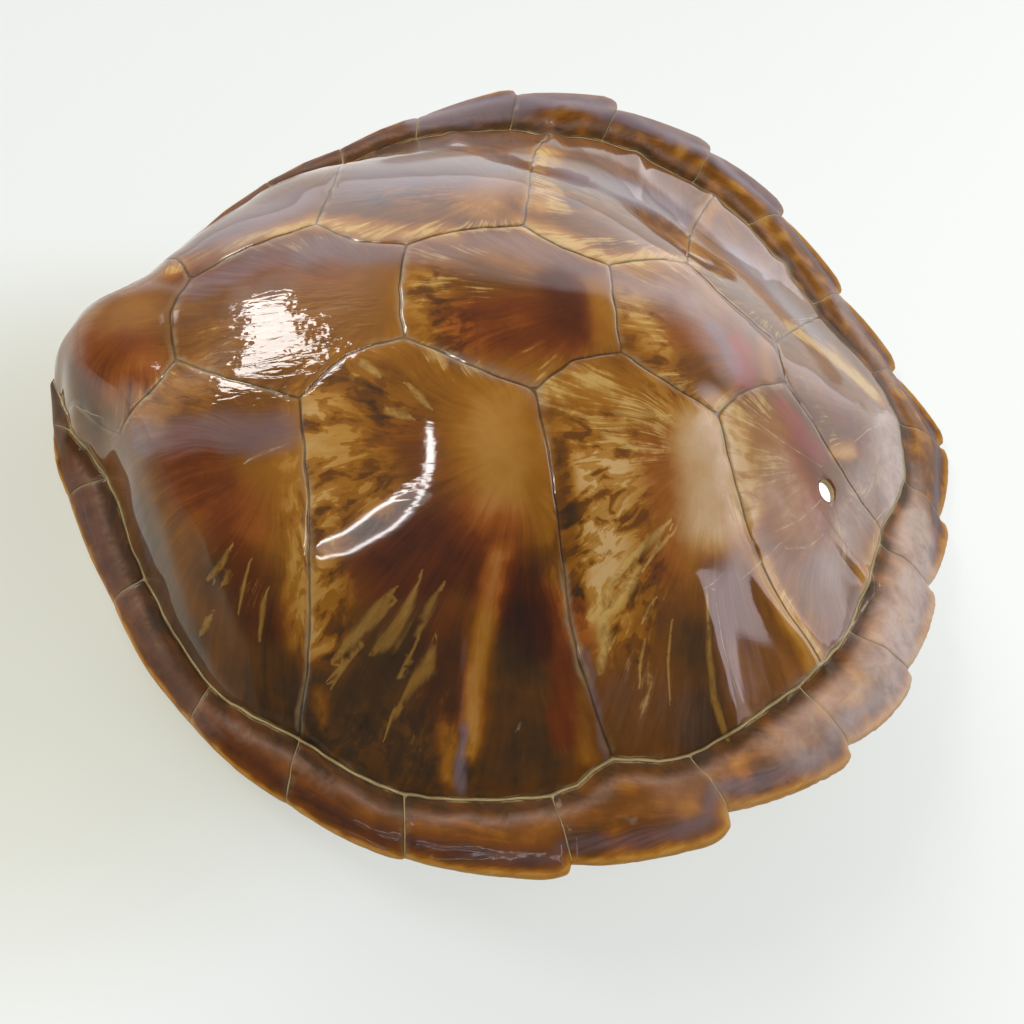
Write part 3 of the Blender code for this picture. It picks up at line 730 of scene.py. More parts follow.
bpy.ops.object.camera_add(location=CAMERA_PLACE, rotation=[math.radians(angle) for angle in CAMERA_TURN])
camera = bpy.context.object
camera.name = "photo_camera"
camera.data.sensor_width = SENSOR
camera.data.lens = SENSOR * FOCAL_PIXELS / PHOTO_SIZE
camera.data.clip_start = CLIP_START
bpy.context.scene.camera = camera
print("lens:", round(camera.data.lens, 2), "mm")

# %% Throw a pixel of the photograph onto the shell
point_of_face = numbers_of(mesh.polygons, "vertices", 3, int)
surface = BVHTree.FromPolygons([Vector(point) for point in points * MM], point_of_face.tolist())
camera_turn = camera.rotation_euler.to_matrix()


def on_shell(pixel):
    """The point of the shell, in millimetres, that the photograph shows at a pixel, or None past the rim."""
    ray = Vector((pixel[0] - PHOTO_SIZE / 2, PHOTO_SIZE / 2 - pixel[1], -FOCAL_PIXELS))
    hit = surface.ray_cast(Vector(CAMERA_PLACE), camera_turn @ ray.normalized())[0]
    return None if hit is None else np.array(hit) / MM


print("the middle of the photograph is at", on_shell((512, 512)).round(1))

# %% Tones, as pixels of the photograph: from 0, near black, to 1, cream, with half a width in millimetres
TONES = [
    # first vertebral
    (0.46, 13, [(95, 350), (140, 380)]),
    (0.62, 4, [(112, 392), (150, 356)]),
    (0.54, 7, [(130, 318), (165, 330)]),
    (0.28, 7, [(72, 380), (92, 425)]),
    # second vertebral
    (0.42, 12, [(195, 330), (240, 350)]),
    (0.42, 13, [(240, 282), (320, 270)]),
    (0.50, 15, [(342, 300), (385, 290)]),
    (0.52, 7, [(305, 358), (350, 345)]),
    # third vertebral
    (0.52, 10, [(430, 250), (520, 255)]),
    (0.60, 8, [(415, 285), (440, 340)]),
    (0.40, 16, [(480, 310), (560, 330)]),
    (0.26, 7, [(560, 285), (570, 330)]),
    (0.60, 6, [(599, 285), (606, 335)]),
    # fourth vertebral
    (0.54, 12, [(640, 285), (700, 290)]),
    (0.64, 8, [(630, 310), (655, 335)]),
    (0.48, 13, [(690, 320), (735, 350)]),
    (0.60, 5, [(765, 345), (770, 375)]),
    # fifth vertebral
    (0.46, 14, [(820, 370), (855, 425)]),
    (0.68, 4, [(835, 350), (880, 400)]),
    (0.84, 4, [(836, 455), (850, 450)]),
    # first costal, near side
    (0.52, 9, [(140, 405), (200, 380)]),
    (0.42, 15, [(200, 470), (215, 540)]),
    (0.52, 8, [(262, 465), (262, 520)]),
    (0.53, 6, [(287, 455), (285, 570)]),
    (0.22, 11, [(220, 578), (262, 600)]),
    (0.34, 9, [(215, 640), (240, 690)]),
    (0.20, 12, [(278, 640), (284, 725)]),
    (0.24, 10, [(140, 520), (185, 645)]),
    (0.46, 3, [(293, 590), (292, 640)]),
    # second costal, near side
    (0.60, 7, [(322, 385), (398, 352)]),
    (0.50, 12, [(425, 372), (505, 395)]),
    (0.32, 8, [(342, 392), (380, 402)]),
    (0.44, 15, [(420, 425), (425, 490)]),
    (0.62, 9, [(350, 440), (362, 515)]),
    (0.66, 9, [(318, 415), (322, 645)]),
    (0.60, 9, [(345, 560), (335, 600)]),
    (0.24, 15, [(395, 565), (480, 535)]),
    (0.24, 13, [(500, 560), (560, 640)]),
    (0.70, 15, [(506, 425), (508, 490)]),
    (0.62, 6, [(536, 440), (548, 530)]),
    (0.46, 5, [(563, 560), (574, 640)]),
    (0.22, 13, [(380, 640), (440, 665)]),
    (0.15, 17, [(335, 722), (440, 752)]),
    (0.20, 13, [(525, 700), (545, 765)]),
    (0.06, 7, [(517, 622), (520, 655)]),
    (0.34, 5, [(562, 665), (565, 737)]),
    (0.54, 3, [(447, 732), (447, 780)]),
    (0.56, 3.0, [(584, 700), (590, 758)]),
    (0.44, 3, [(321, 695), (322, 715)]),
    (0.68, 3.4, [(500, 556), (489, 600), (480, 661), (474, 715), (470, 748)]),
    # third costal, near side
    (0.70, 16, [(580, 400), (665, 440)]),
    (0.52, 9, [(560, 420), (600, 440)]),
    (0.78, 11, [(602, 470), (606, 580)]),
    (0.58, 11, [(658, 440), (668, 560)]),
    (0.36, 3.0, [(560, 450), (577, 620)]),
    (0.92, 11, [(704, 440), (712, 520)]),
    (0.62, 7, [(735, 500), (752, 560)]),
    (0.36, 9, [(652, 582), (682, 640)]),
    (0.60, 6, [(600, 625), (615, 668)]),
    (0.34, 16, [(635, 700), (665, 735)]),
    (0.20, 8, [(698, 640), (706, 735)]),
    (0.40, 12, [(745, 600), (772, 680)]),
    # fourth costal, near side
    (0.64, 14, [(770, 440), (795, 515)]),
    (0.90, 9, [(728, 425), (744, 510)]),
    (0.46, 16, [(800, 580), (840, 620)]),
    (0.82, 4.2, [(764, 572), (816, 662)]),
    (0.58, 3, [(835, 538), (870, 592)]),
    (0.44, 8, [(880, 470), (875, 540)]),
    # far side
    (0.38, 14, [(215, 240), (290, 200)]),
    (0.36, 22, [(380, 185), (470, 185)]),
    (0.72, 4.5, [(318, 222), (350, 226), (404, 238), (450, 232)]),
    (0.68, 4.0, [(175, 268), (240, 240), (318, 222)]),
    (0.74, 5.0, [(524, 225), (560, 238), (610, 262), (688, 262)]),
    (0.74, 6.0, [(540, 205), (548, 150)]),
    (0.68, 4.0, [(690, 250), (712, 205)]),
    (0.86, 5.0, [(790, 325), (830, 355), (872, 392)]),
    (0.62, 8, [(495, 180), (480, 208)]),
    (0.30, 5, [(340, 208), (380, 200)]),
    (0.42, 18, [(580, 190), (650, 205)]),
    (0.36, 5, [(570, 160), (680, 215)]),
    (0.54, 12, [(720, 260), (780, 310)]),
    # cream and dark patches near the tail
    (0.80, 6, [(884, 540), (872, 585)]),
    (0.36, 4, [(858, 470), (884, 500)]),
    (0.36, 4, [(842, 560), (866, 620)]),
]
RED = [
    (1.0, 12, [(95, 360), (130, 365)]),
    (0.6, 9, [(190, 270), (330, 270)]),
    (0.9, 13, [(480, 325), (560, 325)]),
    (1.0, 8, [(560, 285), (568, 335)]),
    (0.7, 13, [(690, 325), (740, 355)]),
    (0.9, 13, [(185, 470), (235, 520)]),
    (0.7, 10, [(235, 560), (265, 620)]),
    (1.0, 14, [(395, 565), (480, 535)]),
    (0.5, 12, [(410, 440), (440, 500)]),
    (0.9, 12, [(490, 570), (560, 630)]),
    (1.0, 5, [(560, 660), (565, 737)]),
    (0.6, 12, [(440, 620), (450, 700)]),
    (0.6, 10, [(655, 450), (668, 560)]),
    (0.9, 11, [(800, 455), (812, 510)]),
    (0.6, 12, [(835, 400), (860, 440)]),
]

# %% Where pale streaks may show, mottles lie, tints tinge the horn and sheen is painted on
PALE = [
    (0.66, 17, [(565, 385), (650, 425)]),
    (0.60, 8, [(412, 292), (475, 285)]),
    (0.60, 6, [(425, 352), (470, 366)]),
    (0.55, 7, [(420, 255), (480, 250)]),
    (0.66, 7, [(622, 305), (655, 330)]),
    (0.55, 8, [(640, 278), (690, 268)]),
    (0.62, 5, [(665, 375), (700, 402)]),
    (0.66, 9, [(728, 420), (762, 402)]),
    (0.62, 9, [(735, 440), (790, 480)]),
    (0.44, 10, [(188, 335), (215, 350)]),
    (0.56, 6, [(130, 425), (172, 376)]),
    (0.46, 6, [(85, 410), (120, 405)]),
    (0.85, 7, [(792, 328), (830, 355), (872, 392)]),
    (0.72, 4, [(535, 200), (545, 150)]),
    (0.74, 4, [(175, 268), (240, 240), (318, 222)]),
    (0.74, 5, [(318, 222), (404, 236), (520, 226)]),
    (0.76, 5, [(530, 230), (610, 260), (688, 260)]),
    (0.60, 6, [(800, 385), (835, 440)]),
    (0.78, 7, [(548, 185), (560, 215)]),
    (0.66, 5, [(590, 242), (655, 247)]),
    (0.60, 4, [(345, 222), (380, 214)]),
    (0.60, 6, [(400, 232), (475, 224)]),
    (0.58, 5, [(255, 252), (325, 240)]),
    (0.66, 6, [(695, 255), (725, 282)]),
    (0.66, 5, [(725, 292), (775, 332)]),
    (0.52, 9, [(340, 366), (390, 360)]),
    (0.44, 10, [(420, 380), (500, 395)]),
    (0.50, 8, [(600, 630), (620, 670)]),
    (0.46, 10, [(640, 600), (650, 690)]),
    (0.46, 12, [(225, 560), (262, 620)]),
    (0.46, 12, [(400, 640), (440, 700)]),
    (0.40, 10, [(330, 720), (430, 745)]),
    (0.40, 10, [(530, 690), (555, 760)]),
    (0.56, 5, [(770, 575), (815, 655)]),
    (0.66, 6, [(845, 500), (884, 470)]),
    (0.60, 7, [(830, 505), (850, 560)]),
]
BLOTCHES = [
    (0.9, 10, [(318, 415), (322, 520)]),
    (0.8, 8, [(316, 565), (322, 645)]),
    (0.8, 9, [(345, 450), (365, 510)]),
    (0.6, 9, [(340, 380), (385, 410)]),
    (1.0, 13, [(600, 460), (606, 590)]),
    (0.6, 8, [(578, 430), (588, 600)]),
    (0.7, 8, [(625, 640), (640, 560)]),
    (0.7, 8, [(725, 430), (742, 500)]),
    (0.6, 8, [(430, 285), (450, 340)]),
    (0.5, 8, [(640, 310), (665, 385)]),
    (0.4, 10, [(720, 265), (780, 320)]),
    (0.4, 12, [(400, 190), (490, 195)]),
    (0.4, 12, [(560, 190), (650, 215)]),
    (0.35, 10, [(140, 405), (200, 380)]),
    (0.35, 12, [(300, 730), (440, 752)]),
]
# Grey-lilac in the base colour, most of it painted sheen.
LILAC_TINT_AND_SHEEN = [
    (0.40, 10, [(728, 580), (745, 680)]),
    (0.5, 12, [(820, 580), (840, 620)]),
    (0.22, 13, [(620, 690), (680, 720)]),
    (0.65, 14, [(215, 240), (290, 200)]),
    (0.75, 22, [(380, 175), (470, 170)]),
    (1.1, 8, [(420, 118), (560, 98), (690, 140), (780, 205), (840, 280), (900, 370)]),
    (0.8, 16, [(580, 180), (670, 210)]),
    (0.7, 12, [(740, 260), (810, 330)]),
    (0.55, 8, [(200, 285), (260, 258), (330, 248), (395, 252)]),
    (0.5, 8, [(410, 250), (520, 245), (600, 275), (690, 300)]),
    (0.3, 1.8, [(466, 640), (463, 730)]),
    (0.7, 1.8, [(462, 725), (460, 790)]),
    (0.55, 1.4, [(586, 650), (606, 762)]),
    (0.4, 5, [(713, 575), (718, 590)]),
    (0.4, 4, [(440, 355), (520, 383), (540, 400)]),
    (0.7, 6, [(715, 330), (735, 365)]),
    (0.6, 7, [(140, 442), (215, 432), (285, 430)]),
    (0.4, 4, [(125, 440), (150, 560)]),
]
MAGENTA = [
    (0.75, 8, [(741, 345), (745, 378)]),
    (0.75, 6, [(783, 410), (820, 455)]),
    (0.5, 5, [(855, 385), (870, 410)]),
]
# Painted pinkish sheen, thick over the hind marginals, thin on the far rim and in places on the dome.
PAINTED_SHEEN = [
    (0.15, 8, [(85, 480), (130, 590), (205, 710)]),
    (1.0, 13, [(890, 440), (920, 560), (890, 670)]),
    (0.6, 11, [(880, 690), (800, 740)]),
    (0.12, 10, [(770, 770), (690, 800)]),
    (0.5, 8, [(830, 560), (860, 500), (890, 430)]),
    (0.3, 9, [(700, 440), (706, 520)]),
    (0.35, 10, [(780, 480), (812, 525)]),
    (0.25, 8, [(630, 290), (700, 305)]),
    (0.2, 6, [(420, 118), (560, 98), (690, 140), (780, 205), (840, 280), (900, 370)]),
    (0.5, 6, [(840, 300), (890, 380)]),
    (0.9, 8, [(905, 470), (925, 540), (915, 610), (890, 660)]),
]
# Where the varnish is dull, and where brush marks show in it.
DULL = [
    (1.0, 10, [(106, 338), (140, 330)]),
    (1.0, 9, [(112, 318), (150, 306)]),
    (0.85, 9, [(215, 640), (250, 690), (285, 735)]),
    (0.8, 5, [(305, 735), (330, 765)]),
    (0.85, 9, [(228, 560), (245, 610), (262, 660)]),
    (1.0, 8, [(186, 274), (206, 264)]),
    (0.9, 8, [(590, 796), (620, 790)]),
    (0.7, 8, [(672, 400), (690, 440), (705, 510), (712, 545)]),
    (0.5, 20, [(765, 430), (795, 500)]),
    (0.7, 8, [(400, 160), (500, 148), (600, 160), (690, 222), (760, 290), (830, 370)]),
    (1.0, 10, [(183, 345), (200, 325), (206, 300)]),
    (0.7, 8, [(205, 278), (270, 262)]),
    (1.0, 8, [(668, 236), (698, 250)]),
    (0.8, 9, [(165, 470), (190, 560), (215, 640)]),
]
BRUSHED = [
    (5.0, 17, [(235, 338), (325, 335)]),
    (4.0, 6, [(150, 312), (166, 352)]),
    (4.0, 9, [(215, 388), (280, 410)]),
    (1.0, 5, [(433, 428), (408, 492)]),
    (1.0, 4, [(245, 462), (285, 445)]),
    (1.2, 22, [(800, 500), (880, 420)]),
    (0.5, 14, [(760, 600), (860, 610)]),
    (1.5, 6, [(130, 570), (150, 600)]),
    (1.5, 5, [(600, 625), (620, 612)]),
]

# %% Single flames: each point of the path has its own half width
FLAMES = [
    [(394, 589, 0.6), (375, 612, 2.4), (352, 642, 2.2), (333, 661, 0.6)],
    [(398, 598, 0.5), (376, 620, 1.6), (343, 650, 0.6)],
    [(422, 572, 0.6), (404, 615, 2.4), (390, 640, 3.4), (371, 655, 1.0)],
    [(444, 584, 0.6), (430, 608, 1.6), (417, 638, 0.8)],
    [(436, 636, 0.6), (426, 668, 3.0), (410, 688, 2.0), (394, 719, 0.8)],
    [(352, 655, 0.4), (340, 668, 0.9), (326, 682, 0.4)],
    [(366, 640, 0.4), (346, 664, 0.9), (330, 690, 0.4)],
    [(402, 690, 0.4), (392, 715, 0.8), (384, 740, 0.4)],
    [(418, 640, 0.4), (404, 668, 0.9), (392, 690, 0.4)],
    [(670, 521, 0.7), (650, 541, 1.8), (628, 562, 1.5), (588, 614, 1.2)],
    [(676, 530, 0.4), (655, 552, 0.9), (640, 575, 0.4)],
    [(640, 566, 0.6), (632, 580, 2.6), (612, 608, 2.4), (588, 620, 1.0)],
    [(655, 598, 0.6), (648, 612, 1.4), (642, 622, 0.5)],
    [(598, 600, 1.0), (606, 640, 3.0), (600, 672, 1.4)],
    [(645, 640, 0.4), (640, 665, 0.9), (640, 690, 0.4)],
    [(672, 620, 0.4), (668, 660, 0.8), (670, 700, 0.4)],
    [(707, 592, 0.6), (708, 640, 1.2), (714, 700, 1.5), (728, 740, 1.0)],
    [(232, 545, 0.6), (222, 565, 1.7), (207, 580, 0.6)],
    [(231, 568, 0.5), (227, 580, 1.6), (220, 586, 0.5)],
    [(268, 588, 0.4), (263, 605, 1.2), (259, 640, 0.7)],
    [(214, 612, 0.5), (206, 624, 1.9), (198, 637, 0.5)],
    [(250, 560, 0.4), (243, 590, 0.8), (238, 615, 0.4)],
    [(388, 410, 1.5), (405, 415, 1.8), (412, 418, 0.6)],
    [(408, 384, 0.6), (420, 398, 1.6), (430, 408, 0.6)],
    [(362, 362, 1.6), (372, 370, 2.0), (380, 376, 1.0)],
    [(614, 412, 1.0), (640, 414, 1.4), (670, 416, 0.5)],
    [(603, 434, 1.4), (622, 442, 1.8), (636, 450, 0.6)],
]
# Pale scratches and cracks in the varnish, and one painted highlight on the first costal.
SCRATCHES_AND_GLINT = [
    [(785, 549, 0.3), (809, 547, 0.6), (827, 532, 0.3)],
    [(777, 531, 0.3), (800, 520, 0.4), (820, 501, 0.3)],
    [(742, 579, 0.3), (759, 564, 0.5), (779, 545, 0.3)],
    [(775, 575, 0.3), (795, 610, 0.35), (818, 650, 0.3)],
    [(738, 408, 0.2), (780, 440, 0.35), (822, 467, 0.25)],
    [(790, 322, 0.4), (806, 330, 0.7), (840, 352, 0.3)],
    [(788, 320, 0.3), (812, 318, 0.4), (821, 320, 0.3)],
    [(853, 443, 0.3), (868, 430, 0.4), (878, 426, 0.3)],
    [(845, 493, 0.3), (862, 512, 0.35), (875, 522, 0.3)],
    [(875, 522, 0.3), (890, 505, 0.35), (899, 490, 0.3)],
    [(874, 535, 0.3), (872, 560, 0.35), (874, 590, 0.3)],
    [(118, 431, 0.3), (145, 395, 0.6), (176, 363, 0.4)],
    [(118, 431, 0.3), (98, 416, 0.4), (77, 407, 0.3)],
    [(701, 590, 0.3), (712, 584, 0.5), (724, 573, 0.3)],
    [(716, 600, 0.2), (722, 640, 0.25), (736, 690, 0.2)],
    [(518, 729, 0.5), (519, 727, 0.9), (520, 725, 0.5)],
    # A painted highlight: the glint of a light on the first costal.
    [(245, 462, 0.4), (265, 452, 0.6), (285, 445, 0.4)],
    [(880, 585, 0.4), (852, 625, 0.8), (820, 664, 1.0), (788, 699, 0.5)],
]
ALL_STROKES = (TONES, RED, PALE, BLOTCHES, LILAC_TINT_AND_SHEEN, MAGENTA, PAINTED_SHEEN, DULL, BRUSHED, FLAMES, SCRATCHES_AND_GLINT)
print("strokes:", sum(map(len, ALL_STROKES)))

# %% Paint the strokes into point attributes
BASE_TONE = 0.42
STROKE_SOFTNESS = 0.75
DULL_SOFTNESS = 0.45
TURNED_AWAY = (0.02, 0.22)
FAR = 20.0
PATH_REACH = 12.0
TRIANGLE_REACH = 1.9
FADE_PAST_TRIANGLE = 4.0
WIDE_STROKE = 0.95
STROKE_WANDER = ((2.6, 14.0, 10), (1.1, 4.5, 12))

to_camera = np.array(CAMERA_PLACE) / MM - points
to_camera /= np.linalg.norm(to_camera, axis=1)[:, None]
normals = numbers_of(mesh.vertex_normals, "vector", 3)
out_of_view = (1 - ease((to_camera * normals).sum(1), *TURNED_AWAY)) * (points[:, 1] > 0)


def stroke_path(pixels):
    """The stroke's points on the shell, each with its own half width, or 0 where it has none."""
    placed = [(on_shell(pixel), pixel[2] if len(pixel) > 2 else 0.0) for pixel in pixels]
    return np.array([(*point, width) for point, width in placed if point is not None])


wandered = points.copy()
for reach, bump_size, seed in STROKE_WANDER:
    for axis in (0, 1):
        wandered[:, axis] += reach * wavy(points, bump_size, seed + axis)


def covers(pixels, half_width, softness=STROKE_SOFTNESS):
    """How much a stroke covers each point, from 0 to 1, and how much its mirror image does out of view."""
    path = stroke_path(pixels)
    found = []
    for side in (1, -1):
        gap, _, _ = nearest_on(path * (1, side, 1, 1), wandered)
        cover = 1 - ease(gap, half_width * (1 - softness), half_width * (1 + softness))
        found.append(cover if side > 0 else cover * out_of_view)
    return np.maximum(*found)


def painted(strokes, softness=STROKE_SOFTNESS):
    """The strongest stroke at each point."""
    covered = [strength * covers(pixels, half_width, softness) for strength, half_width, pixels in strokes]
    return np.max(covered, axis=0)


def side_of(line, places, across):
    """Which side of the line's nearest stretch each place lies on, as seen from outside: 1 or -1."""
    start, run = line[:-1, :3], np.diff(line[:, :3], axis=0)
    offset = places[:, None] - start[None]
    share = ((offset * run[None]).sum(2) / (run**2).sum(1)).clip(0, 1)
    pick = np.linalg.norm(offset - share[:, :, None] * run[None], axis=2).argmin(1)
    turn = np.cross(run[pick], offset[np.arange(len(places)), pick])
    return np.where((turn * across).sum(1) > 0, 1.0, -1.0)


def sided_gaps(paths):
    """Gap to the left and to the right of the nearest path, in half widths, and a zero.

    The larger of the two is the gap. Both change evenly across a path, so a path thinner than a triangle
    keeps its crisp edges.
    """
    found = np.full((len(points), 2), FAR)
    for pixels in paths:
        path = stroke_path(pixels)
        for mirror in (1, -1):
            line = path * (1, mirror, 1, 1)
            reach = PATH_REACH + np.ptp(line[:, :3], axis=0).max()
            near = np.linalg.norm(points - line[:, :3].mean(0), axis=1) < reach
            if mirror < 0:
                near &= out_of_view > 0.5
            rows = np.flatnonzero(near)
            if not len(rows):
                continue
            gap, _, half_width = nearest_on(line, points[rows])
            signed = gap * side_of(line, points[rows], normals[rows])
            beyond = np.clip(gap - TRIANGLE_REACH, 0, None) * FADE_PAST_TRIANGLE
            pair = np.column_stack([signed, -signed]) + beyond[:, None]
            is_wide = half_width > WIDE_STROKE
            pair[is_wide] = gap[is_wide, None]
            pair /= half_width[:, None]
            closer = pair.max(1) < found[rows].max(1)
            found[rows[closer]] = pair[closer]
    return np.column_stack([found, np.zeros(len(found))])


tone = np.full(len(points), BASE_TONE)
for value, half_width, pixels in TONES:
    tone += (value - tone) * covers(pixels, half_width)
flames = sided_gaps(FLAMES)
scratches_and_glint = sided_gaps(SCRATCHES_AND_GLINT)
print("points in a flame:", (flames[:, :2].max(1) < 1).sum())

# %% The marginals' own bands, millimetres and tones
# A dark trough, darker horn with painted shade; a grey ripple of painted sheen; brown horn; a purple band
# and a clear pale edge, all wider towards the tail.
REARWARDS = (-110.0, 100.0)
# The trough's dark tone is darker horn with painted shade.
TROUGH_TONE_AND_SHADE = 0.22
TROUGH_ENDS = (3.0, 8.0)
SHEEN_RIPPLE_AT = 6.0
# Painted sheen: a grey line along the ripple outside the trough.
SHEEN_RIPPLE_HALF_WIDTH = 1.3
PURPLE_AT = 4.5
PURPLE_HALF_WIDTH = 2.4
EDGE_TONE = 0.78

rearwards = ease(points[:, 0], *REARWARDS)
on_rim = ease(outward, -0.3, 0.3)
swell = 1.4 * wavy(points, 11.0, 20)
band = TROUGH_TONE_AND_SHADE + (0.15 + 0.09 * rearwards) * ease(outward + swell, *TROUGH_ENDS)
band += 0.26 * rearwards * ease(wavy(points, 8.0, 25), -0.1, 0.5)
band += 0.06 * wavy(points, 9.0, 24) + 0.03 * wavy(points, 3.5, 21)
sheen_ripple = bump(outward - SHEEN_RIPPLE_AT + swell, SHEEN_RIPPLE_HALF_WIDTH) * ease(to_edge, 4.0, 8.0)
purple_middle = to_edge - PURPLE_AT - 2.5 * rearwards + 1.2 * wavy(points, 6.0, 22)
purple = bump(purple_middle, PURPLE_HALF_WIDTH + 1.4 * rearwards) * ease(outward, 5.0, 9.0)
band -= (0.16 + 0.08 * rearwards) * purple
ragged = to_edge + 0.8 * wavy(points, 4.0, 23)
wide_on_the_left = 2.2 * ease(points[:, 1], 0, 40) * ease(points[:, 0], -80, -40)
clear_edge = 1 - ease(ragged, 0.3 + 0.9 * rearwards, 1.6 + 3.0 * rearwards + wide_on_the_left)
band += (EDGE_TONE - band) * clear_edge
tone += on_rim * (band - tone)
print("points on the marginals:", (on_rim > 0.5).sum())

# %% Keep every painted layer as an attribute of the points
rim_red = (0.38 - 0.2 * rearwards + 0.35 * purple) * (1 - clear_edge)
out_of_trough = 1 - on_rim * (1 - ease(outward, 2, 8))
steepness = 1 / np.clip(np.abs(normals[:, 2]), 0.3, 1)

keep("tone", tone)
keep("flames", flames, "FLOAT_VECTOR")
keep("scratches_and_glint", scratches_and_glint, "FLOAT_VECTOR")
keep("red", np.maximum(painted(RED) * (1 - on_rim), on_rim * rim_red))
keep("pale", painted(PALE) * (1 - on_rim))
keep("blotch", np.maximum(painted(BLOTCHES), 0.1 * on_rim))
# Grey-lilac: painted sheen from the strokes, and the marginals' own purple band.
keep("lilac_tint_and_sheen", np.maximum(painted(LILAC_TINT_AND_SHEEN), on_rim * purple * (0.15 + 0.5 * rearwards)))
keep("magenta", painted(MAGENTA))
# Painted sheen, kept out of the trough, with a thin line of it along the marginals' ripple.
keep("painted_sheen", np.maximum(painted(PAINTED_SHEEN) * out_of_trough, 0.25 * on_rim * sheen_ripple))
keep("gloss", (1 - painted(DULL, DULL_SOFTNESS)) * (1 - 0.88 * on_rim))
keep("brushed", np.maximum(painted(BRUSHED), 0.1 + 0.5 * on_rim))
keep("to_seam", to_seam * steepness)
keep("to_gutter", to_gutter * steepness)
keep("on_rim", on_rim)
print("attributes:", [attribute.name for attribute in mesh.attributes][-14:])

# %% [markdown]
# ## The varnished horn
# Horn over bone is a stack of clear, coloured layers. Painting each layer as glass would be slow and hard to
# steer, so the colour is mixed as a painter would: a brown ground, amber glow, red cores, dark clouds, pale
# flames with torn ends, pale lips along the seams, and on top of it all one coat of clear varnish.

# %% Nodes that can be written as sums and products
NOISE_STRETCH = 2.2


class Value:
    """A shader's number, vector or colour, which can be added, subtracted and multiplied."""

    def __init__(self, socket):
        self.socket = socket

    def __add__(self, other):
        return maths("ADD", self, other)

    def __sub__(self, other):
        return maths("SUBTRACT", self, other)

    def __mul__(self, other):
        return maths("MULTIPLY", self, other)

    __rmul__ = __mul__


def connect(target, inputs):
    """Connects values to a node's inputs, and writes plain numbers and colours on them."""
    for name, value in dict(inputs).items():
        if isinstance(value, Value):
            tree.links.new(value.socket, target.inputs[name])
        else:
            target.inputs[name].default_value = value


def node(kind, inputs=(), output=0, **settings):
    """Adds a node to the tree in hand, and returns one of its outputs."""
    made = tree.nodes.new("ShaderNode" + kind)
    for name, setting in settings.items():
        setattr(made, name, setting)
    connect(made, inputs)
    return Value(made.outputs[output])


def maths(operation, *values):
    return node("Math", enumerate(values), operation=operation)


def larger(first, second):
    return maths("MAXIMUM", first, second)


def attribute(name, output="Fac"):
    return node("Attribute", output=output, attribute_name=name)


def ramp(value, low, high, start=0.0, end=1.0):
    """A smooth step of a value from start at low to end at high."""
    inputs = {"Value": value, "From Min": low, "From Max": high, "To Min": start, "To Max": end}
    return node("MapRange", inputs, "Result", interpolation_type="SMOOTHSTEP")


def scaled(vector, scale):
    return node("Mapping", {"Vector": vector, "Scale": scale}, "Vector")


def noise_of(vector, size, detail=3.0, roughness=0.5, distortion=0.0):
    """Noise from about -1 to 1."""
    looks = {"Scale": size, "Detail": detail, "Roughness": roughness, "Distortion": distortion}
    even = node("TexNoise", {"Vector": vector, **looks}, "Fac")
    stretch = {"Value": even, "To Min": -NOISE_STRETCH, "To Max": NOISE_STRETCH}
    return node("MapRange", stretch, "Result", clamp=False)


def mixed(share, first, second):
    return node("Mix", {"Factor": share, "A": first, "B": second}, "Result", data_type="RGBA")


def parts_of(vector):
    """The three numbers of a vector."""
    return [Value(output) for output in node("SeparateXYZ", {"Vector": vector}).socket.node.outputs]


def linear(red, green, blue):
    """A colour as a picture editor shows it, from 0 to 255, as the light that a shader wants."""
    shares = [value / 255 for value in (red, green, blue)]
    return (*(s / 12.92 if s <= 0.04045 else ((s + 0.055) / 1.055) ** 2.4 for s in shares), 1.0)


def new_material(name):
    material = bpy.data.materials.new(name)
    material.use_nodes = True
    return material, material.node_tree, material.node_tree.nodes["Principled BSDF"]


# %% Horn colours, from the thickest and darkest horn to the palest
HORN_TONES = [
    (0.00, linear(44, 35, 25)),
    (0.18, linear(74, 50, 26)),
    (0.40, linear(118, 70, 18)),
    (0.60, linear(160, 102, 24)),
    (0.80, linear(192, 140, 62)),
    (1.00, linear(216, 176, 116)),
]
RED_TONES = [
    (0.00, linear(46, 30, 26)),
    (0.18, linear(74, 36, 18)),
    (0.40, linear(114, 55, 18)),
    (0.60, linear(158, 86, 26)),
    (0.80, linear(190, 130, 66)),
    (1.00, linear(216, 172, 120)),
]
FLAME_DEEP = linear(148, 106, 40)
FLAME_PALE = linear(212, 174, 100)
SEAM_DARK = linear(44, 34, 22)
SEAM_PALE = linear(194, 172, 120)
THREAD_PALE = linear(150, 124, 80)
LIP_PALE = linear(178, 152, 112)
LILAC_TINT_AND_SHEEN_COLOUR = linear(132, 122, 134)
MAGENTA_BLOOM = linear(186, 60, 76)
PAINTED_SHEEN_COLOUR = linear(208, 186, 174)
SCRATCH_AND_GLINT_PALE = linear(222, 206, 178)


def tones(value, stops):
    """The colour at a value between the stops."""
    result = node("ValToRGB", {"Fac": value}, "Color")
    elements = result.socket.node.color_ramp.elements
    while len(elements) < len(stops):
        elements.new(0.5)
    for element, (position, colour) in zip(elements, stops):
        element.position = position
        element.color = colour
    return result


